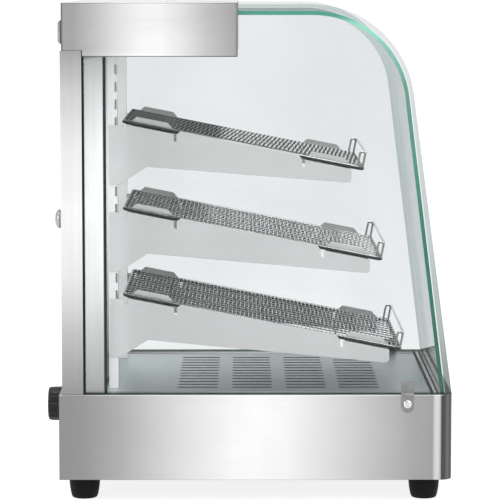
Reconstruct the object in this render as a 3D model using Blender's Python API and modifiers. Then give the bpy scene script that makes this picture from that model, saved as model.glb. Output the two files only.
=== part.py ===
"""Heated countertop food display case with a curved glass front.

Metres, +Z up. The customer side (curved glass) faces -Y and the service side (hinged glass door, controls)
faces +Y. Z = 0 is the worktop under the feet. X = 0 is the middle of the case. Side profiles are written as
(depth, height), where depth runs forward from the rear face of the base.
"""
import math

import bmesh
import bpy
from mathutils import Matrix, Vector

# ---- driving dimensions -------------------------------------------------------------------------
CASE_WIDTH = 0.380
CASE_DEPTH = 0.480
CASE_HEIGHT = 0.610  # to the top of the header screws
HEADER_TOP = 0.608
SHEET = 0.0012  # stainless sheet
GLASS = 0.005  # side panes and curved front
DOOR_GLASS_THICKNESS = 0.004
GAP = 0.0003  # between touching pieces
KNOB_PROUD = 0.022  # how far the knob stands behind the base

HALF_WIDTH = CASE_WIDTH / 2
REAR_FACE_Y = (CASE_DEPTH - KNOB_PROUD) / 2  # centres the whole footprint on Y = 0

FOOT_HEIGHT = 0.027
FOOT_TOP_RADIUS = 0.0190
FOOT_BOTTOM_RADIUS = 0.0148
FOOT_INSET = 0.0325  # centre from the side and front faces of the base
REAR_FOOT_DEPTH = 0.0290

BASE_TOP = 0.132
BASE_CORNER_RADIUS = 0.015
FLOOR_FROM, FLOOR_TO = 0.055, 0.457  # depth of the heated floor
FLOOR_HALF_WIDTH = 0.160
FLOOR_TOP = BASE_TOP - 0.0003

HEADER_BOTTOM = 0.543
HEADER_FROM, HEADER_TO = 0.0056, 0.2182
HEADER_REAR_BOTTOM = 0.551  # over the corner posts and the door
TRAY_HEIGHT = 0.577

PANE_OUTER = HALF_WIDTH - 0.0017  # outer face of each side pane
PANE_REAR = 0.0328
# edge lines of the side panes and of the front glass that lies between them
PANE_LINE = {"top": 0.6065, "foot": 0.4790, "slant": 7.6, "radius": 0.1250}
FRONT_LINE = {"top": 0.5980, "foot": 0.4705, "slant": 7.1, "radius": 0.1175}
FRONT_HALF_WIDTH = PANE_OUTER - GLASS - GAP

POST_FROM, POST_TO = 0.004, 0.030  # outer corner post
POST_FLANGE_TO = 0.0552  # inner flange behind the pane
POST_WIDTH = 0.025
SEAL_THICKNESS = 0.0033
UPRIGHT_FROM, UPRIGHT_TO = 0.0588, 0.0702
UPRIGHT_INNER, UPRIGHT_OUTER = 0.118, 0.138  # distance of its faces from the middle of the case
UPRIGHT_TOP = 0.574

BRACKET_SHEET = 0.0015
BRACKET_REAR = 0.0605
BRACKET_INNER = UPRIGHT_OUTER + GAP
FLANGE_TOPS = {"bottom": 0.244, "middle": 0.351, "top": 0.458}
ARM_ENDS = {"bottom": 0.4051, "middle": 0.3809, "top": 0.3577}
FLANGE_HEIGHT = 0.073
RACK_SLOPE = 0.198  # fall per metre of depth, towards the front
RAISED_EDGE = 0.005
EAR_HEIGHT = 0.0115
EAR_CHAMFER = 0.007
LEDGE = 0.008  # width of the channel that a rack rod lies in
REAR_EAR = (0.087, 0.139)
FRONT_RECESS = 0.0607  # length of the front recess of a bracket arm
FRONT_EAR = 0.053

ROD_RADIUS = 0.0025
WIRE = 0.0024
WIRE_GAPS = 12
RACK_HALF_WIDTH = BRACKET_INNER - LEDGE / 2  # to the middle of the side rods
RACK_REAR = 0.0785
RACK_OVERHANG = 0.0135  # front bar ahead of the bracket arm
FENCE_HEIGHT = 0.021

DOOR_FROM = 0.0022
DOOR_HALF_WIDTH = HALF_WIDTH - POST_WIDTH - 0.0018
DOOR_BOTTOM, DOOR_TOP = 0.1363, 0.5460
HINGE_X = DOOR_HALF_WIDTH - 0.0062
HINGE_DEPTH = DOOR_FROM + DOOR_GLASS_THICKNESS / 2
PULL_X, PULL_HEIGHT = -0.140, 0.343

CONTROL_HEIGHT = 0.1005
KNOB_X = -0.060
SWITCH_X = {"power": 0.010, "lamp": 0.045}
PILOT_X = 0.078
INLET_X, INLET_HEIGHT = 0.135, 0.075
ROCKER_TILT = math.radians(10)
SWITCH_BARREL = (0.0125, 0.0190)
SWITCH_FLANGE = (0.0155, 0.0225)
SWITCH_DEPTH = 0.018
ROCKER_WIDTH = 0.0090
ROCKER_LENGTH = 0.0146
ROCKER_PIVOT_DEPTH = 0.0015
INLET_BARREL = (0.0270, 0.0195)
INLET_FLANGE = (0.0480, 0.0240)
KNOB_RADIUS = 0.0225
KNOB_FLUTES = 12

SLOT_STARTS = (0.143, 0.210, 0.277, 0.343)
SLOT_LENGTH = 0.051
SLOT_WIDTH = 0.0070
SLOT_PITCH = 0.023
SLOT_ROWS = 12
VENT_COUNT = 9
VENT_PITCH = 0.009
VENT_WIDTH = 0.004
VENT_X = -0.168
VENT_HEIGHTS = (0.055, 0.105)

HEATER_RADIUS = 0.004
HEATER_HEIGHT = 0.085
HEATER_LEG = 0.028  # half the distance between the two legs of one element
HEATER_X = 0.075
HEATER_FROM, HEATER_TO = 0.075, 0.415
RAIL_DEPTHS = {"rear": 0.130, "front": 0.360}
RAIL_HALF_WIDTH = 0.150

SLOT_STEP = 0.0214  # five steps are one shelf pitch
HOOK_SLOT = 0.0120
UPRIGHT_FIRST_SLOT = 0.1780
HOOK_DROP = (0.0130, 0.0558)  # from the flange top down to the top of each hook

HEADER_SCREW_DEPTH = 0.130
HEADER_SCREW_X = 0.170
BEZEL_X = -0.135
BEZEL_HALF_WIDTH = 0.024
BEZEL_HEIGHTS = (0.5575, 0.5865)
BEZEL_RIM = 0.006
BEZEL_PROUD = 0.0060
LAMP_DEPTH = 0.150
LAMP_HEIGHT = 0.558
LAMP_RADIUS = 0.008
LAMP_HALF = 0.135

CLIP_DEPTH = 0.425
CLIP_WIDTH = 0.0155
CLIP_SHEET = 0.0012
CLIP_SCREW_HEIGHT = 0.121
CLIP_TOP = 0.1485

SHOE_HALF_DEPTH = 0.0040
SHOE_LENGTH = 0.018
SHOE_HEIGHT = 0.018
PIN_RADIUS = 0.0020

# ---- materials: colour, roughness, metallic, alpha ----------------------------------------------
FINISHES = {
    "brushed_steel": ((0.62, 0.62, 0.61), 0.32, 1.0, 1.0),
    "satin_steel": ((0.56, 0.56, 0.55), 0.45, 1.0, 1.0),
    "chrome": ((0.72, 0.72, 0.73), 0.12, 1.0, 1.0),
    "black_rubber": ((0.02, 0.02, 0.02), 0.75, 0.0, 1.0),
    "black_plastic": ((0.03, 0.03, 0.03), 0.35, 0.0, 1.0),
    "white_plastic": ((0.75, 0.75, 0.72), 0.45, 0.0, 1.0),
    "red_lens": ((0.60, 0.03, 0.02), 0.15, 0.0, 1.0),
    "opal_tube": ((0.90, 0.88, 0.82), 0.30, 0.0, 1.0),
    "clear_glass": ((0.80, 0.93, 0.88), 0.03, 0.0, 0.25),
    "heater_steel": ((0.30, 0.29, 0.28), 0.50, 1.0, 1.0),
}

for old in list(bpy.data.objects):
    bpy.data.objects.remove(old)

PARTS = bpy.data.collections.new("food_display_case")
CUTTERS = bpy.data.collections.new("food_display_case_cutters")
bpy.context.scene.collection.children.link(PARTS)
bpy.context.scene.collection.children.link(CUTTERS)


# ---- helpers ------------------------------------------------------------------------------------
def finish_material(finish):
    """The material of one finish, made once."""
    if finish in bpy.data.materials:
        return bpy.data.materials[finish]
    colour, roughness, metallic, alpha = FINISHES[finish]
    material = bpy.data.materials.new(finish)
    material.use_nodes = True
    shader = material.node_tree.nodes["Principled BSDF"]
    shader.inputs["Base Color"].default_value = (*colour, 1.0)
    shader.inputs["Roughness"].default_value = roughness
    shader.inputs["Metallic"].default_value = metallic
    shader.inputs["Alpha"].default_value = alpha
    material.diffuse_color = (*colour, alpha)
    return material


def add(obj, finish):
    """Put an object among the parts, with its own copy of the finish's material."""
    PARTS.objects.link(obj)
    material = finish_material(finish).copy()
    material.name = obj.name
    obj.data.materials.append(material)
    return obj


def add_cutter(obj):
    CUTTERS.objects.link(obj)
    obj.hide_render = True
    obj.display_type = "WIRE"
    return obj


def y_at(depth):
    """World Y of a depth measured forward from the rear face of the base."""
    return REAR_FACE_Y - depth


def mesh_object(name, bm, location=(0.0, 0.0, 0.0)):
    mesh = bpy.data.meshes.new(name)
    bm.to_mesh(mesh)
    bm.free()
    obj = bpy.data.objects.new(name, mesh)
    obj.location = location
    return obj


def box(name, x, depth, z):
    """A box from ranges of X, depth and Z."""
    size = Vector((x[1] - x[0], depth[1] - depth[0], z[1] - z[0]))
    bm = bmesh.new()
    bmesh.ops.create_cube(bm, size=1.0, matrix=Matrix.Diagonal((*size, 1.0)))
    centre = ((x[0] + x[1]) / 2, y_at((depth[0] + depth[1]) / 2), (z[0] + z[1]) / 2)
    return mesh_object(name, bm, centre)


def cylinder(name, centre, direction, radius, length, sides=24, end_radius=None):
    """A cylinder or cone centred at a point, with end_radius at the end that the direction points to."""
    bm = bmesh.new()
    bmesh.ops.create_cone(
        bm,
        cap_ends=True,
        segments=sides,
        radius1=radius,
        radius2=radius if end_radius is None else end_radius,
        depth=length,
    )
    obj = mesh_object(name, bm, centre)
    obj.rotation_mode = "QUATERNION"
    obj.rotation_quaternion = Vector((0, 0, 1)).rotation_difference(Vector(direction))
    obj.data.shade_smooth()
    obj.data.set_sharp_from_angle(angle=math.radians(35))
    return obj


def filled_curve(name, outlines, thickness, matrix):
    """A flat plate: an outline, and any holes after it, as a filled 2D curve with a thickness."""
    curve = bpy.data.curves.new(name, "CURVE")
    curve.dimensions = "2D"
    curve.fill_mode = "BOTH"
    curve.extrude = thickness / 2
    for outline in outlines:
        spline = curve.splines.new("POLY")
        spline.points.add(len(outline) - 1)
        for point, (a, b) in zip(spline.points, outline):
            point.co = (a, b, 0.0, 1.0)
        spline.use_cyclic_u = True
    obj = bpy.data.objects.new(name, curve)
    obj.matrix_world = matrix
    return obj


def side_plate(name, outlines, x):
    """A plate drawn as (depth, height), between two values of X."""
    matrix = Matrix(
        ((0, 0, -1, (x[0] + x[1]) / 2), (-1, 0, 0, REAR_FACE_Y), (0, 1, 0, 0), (0, 0, 0, 1))
    )
    return filled_curve(name, outlines, x[1] - x[0], matrix)


def rear_plate(name, outlines, depth):
    """A plate drawn as (X, height), between two depths."""
    matrix = Matrix(
        ((1, 0, 0, 0), (0, 0, -1, y_at((depth[0] + depth[1]) / 2)), (0, 1, 0, 0), (0, 0, 0, 1))
    )
    return filled_curve(name, outlines, depth[1] - depth[0], matrix)


def floor_plate(name, outlines, z):
    """A plate drawn as (X, Y), between two heights."""
    matrix = Matrix.Translation((0, 0, (z[0] + z[1]) / 2))
    return filled_curve(name, outlines, z[1] - z[0], matrix)


def rod(name, points, radius, closed=False, matrix=None):
    """A round wire or tube along a list of points, with filled ends."""
    curve = bpy.data.curves.new(name, "CURVE")
    curve.dimensions = "3D"
    curve.bevel_depth = radius
    curve.bevel_resolution = 1
    curve.use_fill_caps = not closed
    spline = curve.splines.new("POLY")
    spline.points.add(len(points) - 1)
    for point, place in zip(spline.points, points):
        point.co = (*place, 1.0)
    spline.use_cyclic_u = closed
    obj = bpy.data.objects.new(name, curve)
    if matrix:
        obj.matrix_world = matrix
    return obj


def as_mesh(obj):
    """Turn a curve object into a mesh object with welded caps."""
    CUTTERS.objects.link(obj)
    graph = bpy.context.evaluated_depsgraph_get()
    mesh = bpy.data.meshes.new_from_object(obj.evaluated_get(graph))
    bm = bmesh.new()
    bm.from_mesh(mesh)
    bmesh.ops.remove_doubles(bm, verts=bm.verts, dist=1e-6)
    bmesh.ops.recalc_face_normals(bm, faces=bm.faces)
    bm.to_mesh(mesh)
    bm.free()
    name = obj.name
    matrix = obj.matrix_world.copy()
    bpy.data.objects.remove(obj)
    solid = bpy.data.objects.new(name, mesh)
    solid.matrix_world = matrix
    return solid


def boolean(obj, other, operation):
    """Cut or join another object, which stays as a hidden wire guide."""
    if other.name not in CUTTERS.objects:
        add_cutter(other)
    modifier = obj.modifiers.new(other.name, "BOOLEAN")
    modifier.operation = operation
    modifier.solver = "EXACT"
    modifier.object = other


def cut(obj, *cutters):
    for other in cutters:
        boolean(obj, other, "DIFFERENCE")
    return obj


def join(obj, *others):
    for other in others:
        boolean(obj, other, "UNION")
    return obj


def bevel(obj, width, segments=2, angle=40):
    modifier = obj.modifiers.new("rounded edges", "BEVEL")
    modifier.width = width
    modifier.segments = segments
    modifier.limit_method = "ANGLE"
    modifier.angle_limit = math.radians(angle)
    return obj


def arc(centre, radius, start, end, segments):
    """Points on an arc, angles in degrees."""
    points = []
    for i in range(segments + 1):
        angle = math.radians(start + (end - start) * i / segments)
        points.append((centre[0] + radius * math.cos(angle), centre[1] + radius * math.sin(angle)))
    return points


def rectangle(x, z):
    return [(x[0], z[0]), (x[1], z[0]), (x[1], z[1]), (x[0], z[1])]


def circle(centre, radius, segments=16):
    return arc(centre, radius, 0, 360 - 360 / segments, segments - 1)


def base_outline(inset):
    """Plan of the base as (X, Y): square at the rear, rounded at the two front corners."""
    half = HALF_WIDTH - inset
    radius = BASE_CORNER_RADIUS - inset
    front = y_at(CASE_DEPTH) + inset
    rear = y_at(inset)
    left = arc((-half + radius, front + radius), radius, 180, 270, 6)
    right = arc((half - radius, front + radius), radius, 270, 360, 6)
    return [(-half, rear), *left, *right, (half, rear)]


def glass_line(top, foot, slant, radius, inset=0.0):
    """A glass edge line (depth, height): from the top, over the curve, down the slant to the base top."""
    lean = math.radians(slant)
    centre_height = top - radius
    rise = centre_height - BASE_TOP
    centre = (foot - (radius + rise * math.sin(lean)) / math.cos(lean), centre_height)
    line = arc(centre, radius - inset, 90, slant, 14)
    last = line[-1]
    end = BASE_TOP + GAP
    return [*line, (last[0] + (last[1] - end) * math.tan(lean), end)]


# ---- base ---------------------------------------------------------------------------------------
def make_base():
    """Base shell: wrapped sides and front with a folded top deck, open below and behind."""
    shell = as_mesh(floor_plate("base_shell", [base_outline(0.0)], (FOOT_HEIGHT, BASE_TOP)))
    hollow = floor_plate("base_hollow", [base_outline(SHEET)], (FOOT_HEIGHT - 0.01, BASE_TOP - SHEET))
    rear = HALF_WIDTH - SHEET
    mouth = box("base_rear_mouth", (-rear, rear), (-0.01, 0.01), (FOOT_HEIGHT - 0.01, BASE_TOP - SHEET))
    window = box(
        "base_floor_window",
        (-FLOOR_HALF_WIDTH - GAP, FLOOR_HALF_WIDTH + GAP),
        (FLOOR_FROM - GAP, FLOOR_TO + GAP),
        (BASE_TOP - 0.01, BASE_TOP + 0.01),
    )
    screw_holes = cylinder(
        "base_screw_holes", (0, y_at(CLIP_DEPTH), CLIP_SCREW_HEIGHT), (1, 0, 0), 0.0023, 0.5, 12
    )
    add(cut(shell, as_mesh(hollow), mouth, window, screw_holes), "brushed_steel")


def make_rear_panel():
    """Rear panel of the base, with holes for the controls, the inlet and two rows of vents."""
    half = HALF_WIDTH - SHEET - GAP
    bottom, top = FOOT_HEIGHT + SHEET + GAP, BASE_TOP - SHEET - GAP
    outlines = [rectangle((-half, half), (bottom, top))]
    outlines.append(circle((KNOB_X, CONTROL_HEIGHT), 0.0045))
    outlines.append(circle((PILOT_X, CONTROL_HEIGHT), 0.0054))
    for x in SWITCH_X.values():
        hole_x = (x - SWITCH_BARREL[0] / 2 - GAP, x + SWITCH_BARREL[0] / 2 + GAP)
        hole_z = (CONTROL_HEIGHT - SWITCH_BARREL[1] / 2 - GAP, CONTROL_HEIGHT + SWITCH_BARREL[1] / 2 + GAP)
        outlines.append(rectangle(hole_x, hole_z))
    hole_x = (INLET_X - INLET_BARREL[0] / 2 - GAP, INLET_X + INLET_BARREL[0] / 2 + GAP)
    hole_z = (INLET_HEIGHT - INLET_BARREL[1] / 2 - GAP, INLET_HEIGHT + INLET_BARREL[1] / 2 + GAP)
    outlines.append(rectangle(hole_x, hole_z))
    for i in range(VENT_COUNT):
        x = VENT_X + i * VENT_PITCH
        outlines.append(rectangle((x - VENT_WIDTH / 2, x + VENT_WIDTH / 2), VENT_HEIGHTS))
    add(as_mesh(rear_plate("base_rear_panel", outlines, (0.0, SHEET))), "brushed_steel")


def make_bottom_plate():
    plate = floor_plate(
        "base_bottom_plate", [base_outline(SHEET + GAP)], (FOOT_HEIGHT + GAP, FOOT_HEIGHT + SHEET)
    )
    add(plate, "satin_steel")


def make_floor():
    """Perforated heated floor: four blocks of twelve slots that run front to back."""
    outline = rectangle(
        (-FLOOR_HALF_WIDTH, FLOOR_HALF_WIDTH), (y_at(FLOOR_TO), y_at(FLOOR_FROM))
    )
    outlines = [outline]
    for depth in SLOT_STARTS:
        for row in range(SLOT_ROWS):
            x = (row - (SLOT_ROWS - 1) / 2) * SLOT_PITCH
            across = (x - SLOT_WIDTH / 2, x + SLOT_WIDTH / 2)
            outlines.append(rectangle(across, (y_at(depth + SLOT_LENGTH), y_at(depth))))
    add(floor_plate("floor_panel", outlines, (FLOOR_TOP - SHEET, FLOOR_TOP)), "satin_steel")


def make_feet():
    side = HALF_WIDTH - FOOT_INSET
    for end, depth in (("rear", REAR_FOOT_DEPTH), ("front", CASE_DEPTH - FOOT_INSET)):
        for hand, x in (("left", -side), ("right", side)):
            centre = (x, y_at(depth), FOOT_HEIGHT / 2)
            foot = cylinder(
                f"foot_{end}_{hand}", centre, (0, 0, 1), FOOT_BOTTOM_RADIUS, FOOT_HEIGHT, 24, FOOT_TOP_RADIUS
            )
            add(bevel(foot, 0.0012), "black_rubber")


# ---- heating ------------------------------------------------------------------------------------
def make_heaters():
    """Two U-shaped sheathed elements that lie in the notches of two cross rails."""
    for hand, middle in (("left", -HEATER_X), ("right", HEATER_X)):
        turn = arc((0.0, 0.0), HEATER_LEG, 0, 180, 10)
        points = [(middle + HEATER_LEG, y_at(HEATER_FROM), HEATER_HEIGHT)]
        points += [(middle + a, y_at(HEATER_TO) - b, HEATER_HEIGHT) for a, b in turn]
        points.append((middle - HEATER_LEG, y_at(HEATER_FROM), HEATER_HEIGHT))
        add(rod(f"heater_{hand}", points, HEATER_RADIUS), "heater_steel")
    for end, depth in RAIL_DEPTHS.items():
        bottom, top = FOOT_HEIGHT + SHEET + GAP, FLOOR_TOP - SHEET - GAP
        outline = [(-RAIL_HALF_WIDTH, bottom), (RAIL_HALF_WIDTH, bottom), (RAIL_HALF_WIDTH, top)]
        for middle in (HEATER_X, -HEATER_X):
            for x in (middle + HEATER_LEG, middle - HEATER_LEG):
                radius = HEATER_RADIUS + GAP
                outline.append((x + radius, top))
                outline += arc((x, HEATER_HEIGHT), radius, 0, -180, 6)
                outline.append((x - radius, top))
        outline.append((-RAIL_HALF_WIDTH, top))
        add(rear_plate(f"heater_rail_{end}", [outline], (depth, depth + 0.0015)), "satin_steel")


# ---- controls -----------------------------------------------------------------------------------
def make_thermostat():
    """Thermostat behind the rear panel, its shaft through the panel, and a fluted knob outside."""
    rear = (KNOB_X - 0.018, KNOB_X + 0.018)
    height = (CONTROL_HEIGHT - 0.018, CONTROL_HEIGHT + 0.018)
    body = box("thermostat_body", rear, (SHEET + GAP, 0.026), height)
    bore = cylinder("thermostat_bore", (KNOB_X, y_at(0.0), CONTROL_HEIGHT), (0, 1, 0), 0.0033, 0.014, 16)
    add(cut(bevel(body, 0.001, 1), bore), "satin_steel")
    shaft_from, shaft_to = -0.011, 0.0065
    centre = (KNOB_X, y_at((shaft_from + shaft_to) / 2), CONTROL_HEIGHT)
    shaft = cylinder("thermostat_shaft", centre, (0, 1, 0), 0.0030, shaft_to - shaft_from, 16)
    add(shaft, "satin_steel")

    outline = []
    steps = KNOB_FLUTES * 4
    for i in range(steps):
        angle = 2 * math.pi * i / steps
        radius = KNOB_RADIUS - 0.0015 + 0.0006 * math.cos(KNOB_FLUTES * angle)
        outline.append((KNOB_X + radius * math.cos(angle), CONTROL_HEIGHT + radius * math.sin(angle)))
    knob = as_mesh(rear_plate("thermostat_knob", [outline], (-KNOB_PROUD, -0.0025)))
    skirt_centre = (KNOB_X, y_at(-0.0023), CONTROL_HEIGHT)
    skirt = cylinder("knob_skirt", skirt_centre, (0, 1, 0), KNOB_RADIUS, 0.0030, 32)
    blind_bore = cylinder(
        "knob_bore", (KNOB_X, y_at(-0.0055), CONTROL_HEIGHT), (0, 1, 0), 0.0033, 0.012, 16
    )
    add(cut(join(knob, skirt), blind_bore), "black_plastic")


def make_switches():
    """Rocker switches: a flanged body with a pocket, and a rocker that tilts in it."""
    for name, x in SWITCH_X.items():
        half = SWITCH_BARREL[0] / 2, SWITCH_BARREL[1] / 2
        barrel = box(
            f"{name}_switch_body",
            (x - half[0], x + half[0]),
            (-0.001, SWITCH_DEPTH),
            (CONTROL_HEIGHT - half[1], CONTROL_HEIGHT + half[1]),
        )
        half = SWITCH_FLANGE[0] / 2, SWITCH_FLANGE[1] / 2
        flange = box(
            f"{name}_switch_flange",
            (x - half[0], x + half[0]),
            (-0.0018, -GAP),
            (CONTROL_HEIGHT - half[1], CONTROL_HEIGHT + half[1]),
        )
        half = ROCKER_WIDTH / 2 + 0.0005, 0.0086
        pocket = box(
            f"{name}_switch_pocket",
            (x - half[0], x + half[0]),
            (-0.010, 0.009),
            (CONTROL_HEIGHT - half[1], CONTROL_HEIGHT + half[1]),
        )
        add(cut(join(barrel, flange), pocket), "black_plastic")

        front, back, half = -0.0042, 0.0022, ROCKER_LENGTH / 2
        outline = [(front, -half), (back, -half), (0.0060, 0.0), (back, half), (front, half), (-0.0030, 0.0)]
        matrix = (
            Matrix.Translation((x, y_at(ROCKER_PIVOT_DEPTH), CONTROL_HEIGHT))
            @ Matrix.Rotation(ROCKER_TILT, 4, "X")
            @ Matrix(((0, 0, -1, 0), (-1, 0, 0, 0), (0, 1, 0, 0), (0, 0, 0, 1)))
        )
        rocker = filled_curve(f"{name}_rocker", [outline], ROCKER_WIDTH, matrix)
        add(rocker, "black_plastic")


def make_pilot_lamp():
    centre = (PILOT_X, y_at(0.004), CONTROL_HEIGHT)
    lamp = cylinder("pilot_lamp", centre, (0, 1, 0), 0.0050, 0.020, 20, 0.0046)
    collar = cylinder("pilot_collar", (PILOT_X, y_at(-0.0013), CONTROL_HEIGHT), (0, 1, 0), 0.0068, 0.002, 20)
    add(join(lamp, collar), "red_lens")


def make_inlet():
    """Appliance inlet: flange, barrel through the panel, and a socket with three blades at its end."""
    half = INLET_BARREL[0] / 2, INLET_BARREL[1] / 2
    barrel = box(
        "mains_inlet",
        (INLET_X - half[0], INLET_X + half[0]),
        (-0.001, 0.028),
        (INLET_HEIGHT - half[1], INLET_HEIGHT + half[1]),
    )
    half = INLET_FLANGE[0] / 2, INLET_FLANGE[1] / 2
    flange = box(
        "inlet_flange",
        (INLET_X - half[0], INLET_X + half[0]),
        (-0.0025, -GAP),
        (INLET_HEIGHT - half[1], INLET_HEIGHT + half[1]),
    )
    half = 0.0120, 0.0080
    socket = box(
        "inlet_socket",
        (INLET_X - half[0], INLET_X + half[0]),
        (-0.010, 0.022),
        (INLET_HEIGHT - half[1], INLET_HEIGHT + half[1]),
    )
    cut(join(barrel, flange), socket)
    for i, (dx, dz) in enumerate(((-0.007, -0.002), (0.0, 0.002), (0.007, -0.002))):
        blade = box(
            f"inlet_blade_{i}",
            (INLET_X + dx - 0.001, INLET_X + dx + 0.001),
            (0.008, 0.024),
            (INLET_HEIGHT + dz - 0.0025, INLET_HEIGHT + dz + 0.0025),
        )
        join(barrel, blade)
    add(barrel, "black_plastic")


def make_terminal_block():
    bottom = FOOT_HEIGHT + SHEET + GAP
    block = box("terminal_block", (0.095, 0.155), (0.045, 0.065), (bottom, bottom + 0.018))
    add(bevel(block, 0.0015, 1), "white_plastic")


# ---- frame and header ---------------------------------------------------------------------------
def mirrored(outline, side):
    """An (X, Y) outline drawn for the right-hand side, put on either side."""
    return [(side * x, y) for x, y in outline]


def make_posts():
    """Folded corner posts: a box section with a flange that runs forward behind the side pane."""
    outer, inner = HALF_WIDTH, HALF_WIDTH - POST_WIDTH
    behind_pane = PANE_OUTER - GLASS - GAP
    for hand, side in (("left", -1), ("right", 1)):
        outline = [
            (inner, y_at(POST_FROM)),
            (outer, y_at(POST_FROM)),
            (outer, y_at(POST_TO)),
            (behind_pane, y_at(POST_TO)),
            (behind_pane, y_at(POST_FLANGE_TO)),
            (inner, y_at(POST_FLANGE_TO)),
        ]
        hollow = [
            (inner + SHEET, y_at(POST_FROM + SHEET)),
            (outer - SHEET, y_at(POST_FROM + SHEET)),
            (outer - SHEET, y_at(POST_TO - SHEET)),
            (behind_pane - SHEET, y_at(POST_TO - SHEET)),
            (behind_pane - SHEET, y_at(POST_FLANGE_TO - SHEET)),
            (inner + SHEET, y_at(POST_FLANGE_TO - SHEET)),
        ]
        outlines = [mirrored(outline, side), mirrored(hollow, side)]
        height = (BASE_TOP + GAP, HEADER_REAR_BOTTOM - GAP)
        add(floor_plate(f"corner_post_{hand}", outlines, height), "brushed_steel")

        seal_x = (behind_pane - 0.008, behind_pane)
        seal = rectangle(seal_x, (y_at(POST_FLANGE_TO + SEAL_THICKNESS), y_at(POST_FLANGE_TO + GAP)))
        add(floor_plate(f"pane_seal_{hand}", [mirrored(seal, side)], height), "black_rubber")


def make_uprights():
    """Box-section uprights with slots through the front corner that take the bracket hooks."""
    for hand, side in (("left", -1), ("right", 1)):
        outline = rectangle((UPRIGHT_INNER, UPRIGHT_OUTER), (y_at(UPRIGHT_TO), y_at(UPRIGHT_FROM)))
        hollow = rectangle(
            (UPRIGHT_INNER + SHEET, UPRIGHT_OUTER - SHEET), (y_at(UPRIGHT_TO - SHEET), y_at(UPRIGHT_FROM + SHEET))
        )
        height = (FLOOR_TOP + GAP, UPRIGHT_TOP)
        outlines = [mirrored(outline, side), mirrored(hollow, side)]
        upright = as_mesh(floor_plate(f"upright_{hand}", outlines, height))
        slot = UPRIGHT_FIRST_SLOT
        number = 0
        while slot + HOOK_SLOT < UPRIGHT_TOP - 0.02:
            x = sorted((side * (UPRIGHT_OUTER - 0.006), side * (UPRIGHT_OUTER + 0.001)))
            depth = (UPRIGHT_TO - 0.0030, UPRIGHT_TO + 0.001)
            cutter = box(f"upright_slot_{hand}_{number}", x, depth, (slot, slot + HOOK_SLOT))
            cut(upright, cutter)
            slot += SLOT_STEP
            number += 1
        add(upright, "brushed_steel")


def make_header():
    """Header shell, open below and in front, and a tray whose apron closes it under the front glass."""
    header = box(
        "header_shell", (-HALF_WIDTH, HALF_WIDTH), (HEADER_FROM, HEADER_TO), (HEADER_BOTTOM, HEADER_TOP)
    )
    inner = HALF_WIDTH - SHEET
    hollow = box(
        "header_hollow",
        (-inner, inner),
        (HEADER_FROM + SHEET, HEADER_TO - SHEET),
        (HEADER_BOTTOM - 0.01, HEADER_TOP - SHEET),
    )
    over_posts = box(
        "header_rear_cut",
        (-HALF_WIDTH - 0.01, HALF_WIDTH + 0.01),
        (-0.01, POST_TO + 0.0010),
        (HEADER_BOTTOM - 0.01, HEADER_REAR_BOTTOM),
    )
    mouth = box(
        "header_front_mouth",
        (-inner, inner),
        (HEADER_TO - 0.004, HEADER_TO + 0.01),
        (HEADER_BOTTOM - 0.01, FRONT_LINE["top"] + GAP),
    )
    bevel(header, 0.0012)
    cut(header, hollow, over_posts, mouth)
    for hand, side in (("left", -1), ("right", 1)):
        x = sorted((side * (FRONT_HALF_WIDTH - 0.001), side * inner))
        slot_z = (FRONT_LINE["top"] - 0.001, PANE_LINE["top"] + 0.0002)
        cut(header, box(f"header_pane_slot_{hand}", x, (HEADER_TO - 0.004, HEADER_TO + 0.01), slot_z))
        hole_centre = (side * HEADER_SCREW_X, y_at(HEADER_SCREW_DEPTH), HEADER_TOP)
        cut(header, cylinder(f"header_screw_hole_{hand}", hole_centre, (0, 0, 1), 0.0023, 0.01, 12))
    add(header, "brushed_steel")

    half = FRONT_HALF_WIDTH - 0.0007
    tray = box("header_tray", (-half, half), (0.008, HEADER_TO - 0.001), (TRAY_HEIGHT, TRAY_HEIGHT + SHEET))
    front = (HEADER_TO - 0.0002 - SHEET, HEADER_TO - 0.0002)
    apron = box("tray_apron", (-half, half), front, (HEADER_BOTTOM, FRONT_LINE["top"] - GLASS - GAP))
    add(join(tray, apron), "satin_steel")

    head = HEADER_TOP + GAP
    tall = CASE_HEIGHT - head
    profile = [(0.0, tall), (0.0020, tall * 0.9), (0.0034, tall * 0.55), (0.0040, 0.0), (0.0019, 0.0)]
    profile += [(0.0019, -0.0080), (0.0, -0.0080)]
    for hand, side in (("left", -1), ("right", 1)):
        place = Matrix.Translation((side * HEADER_SCREW_X, y_at(HEADER_SCREW_DEPTH), head))
        turned(f"header_screw_{hand}", profile, place, "chrome", 16)


def make_lamp():
    """Tube lamp under the header tray, held between two lamp holders."""
    centre = (0, y_at(LAMP_DEPTH), LAMP_HEIGHT)
    add(cylinder("lamp_tube", centre, (1, 0, 0), LAMP_RADIUS, 2 * LAMP_HALF, 20), "opal_tube")
    for hand, side in (("left", -1), ("right", 1)):
        x = sorted((side * (LAMP_HALF + GAP), side * (LAMP_HALF + 0.014)))
        depth = (LAMP_DEPTH - 0.012, LAMP_DEPTH + 0.012)
        holder = box(f"lamp_holder_{hand}", x, depth, (LAMP_HEIGHT - 0.011, TRAY_HEIGHT - GAP))
        add(bevel(holder, 0.0015, 2), "white_plastic")


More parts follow.
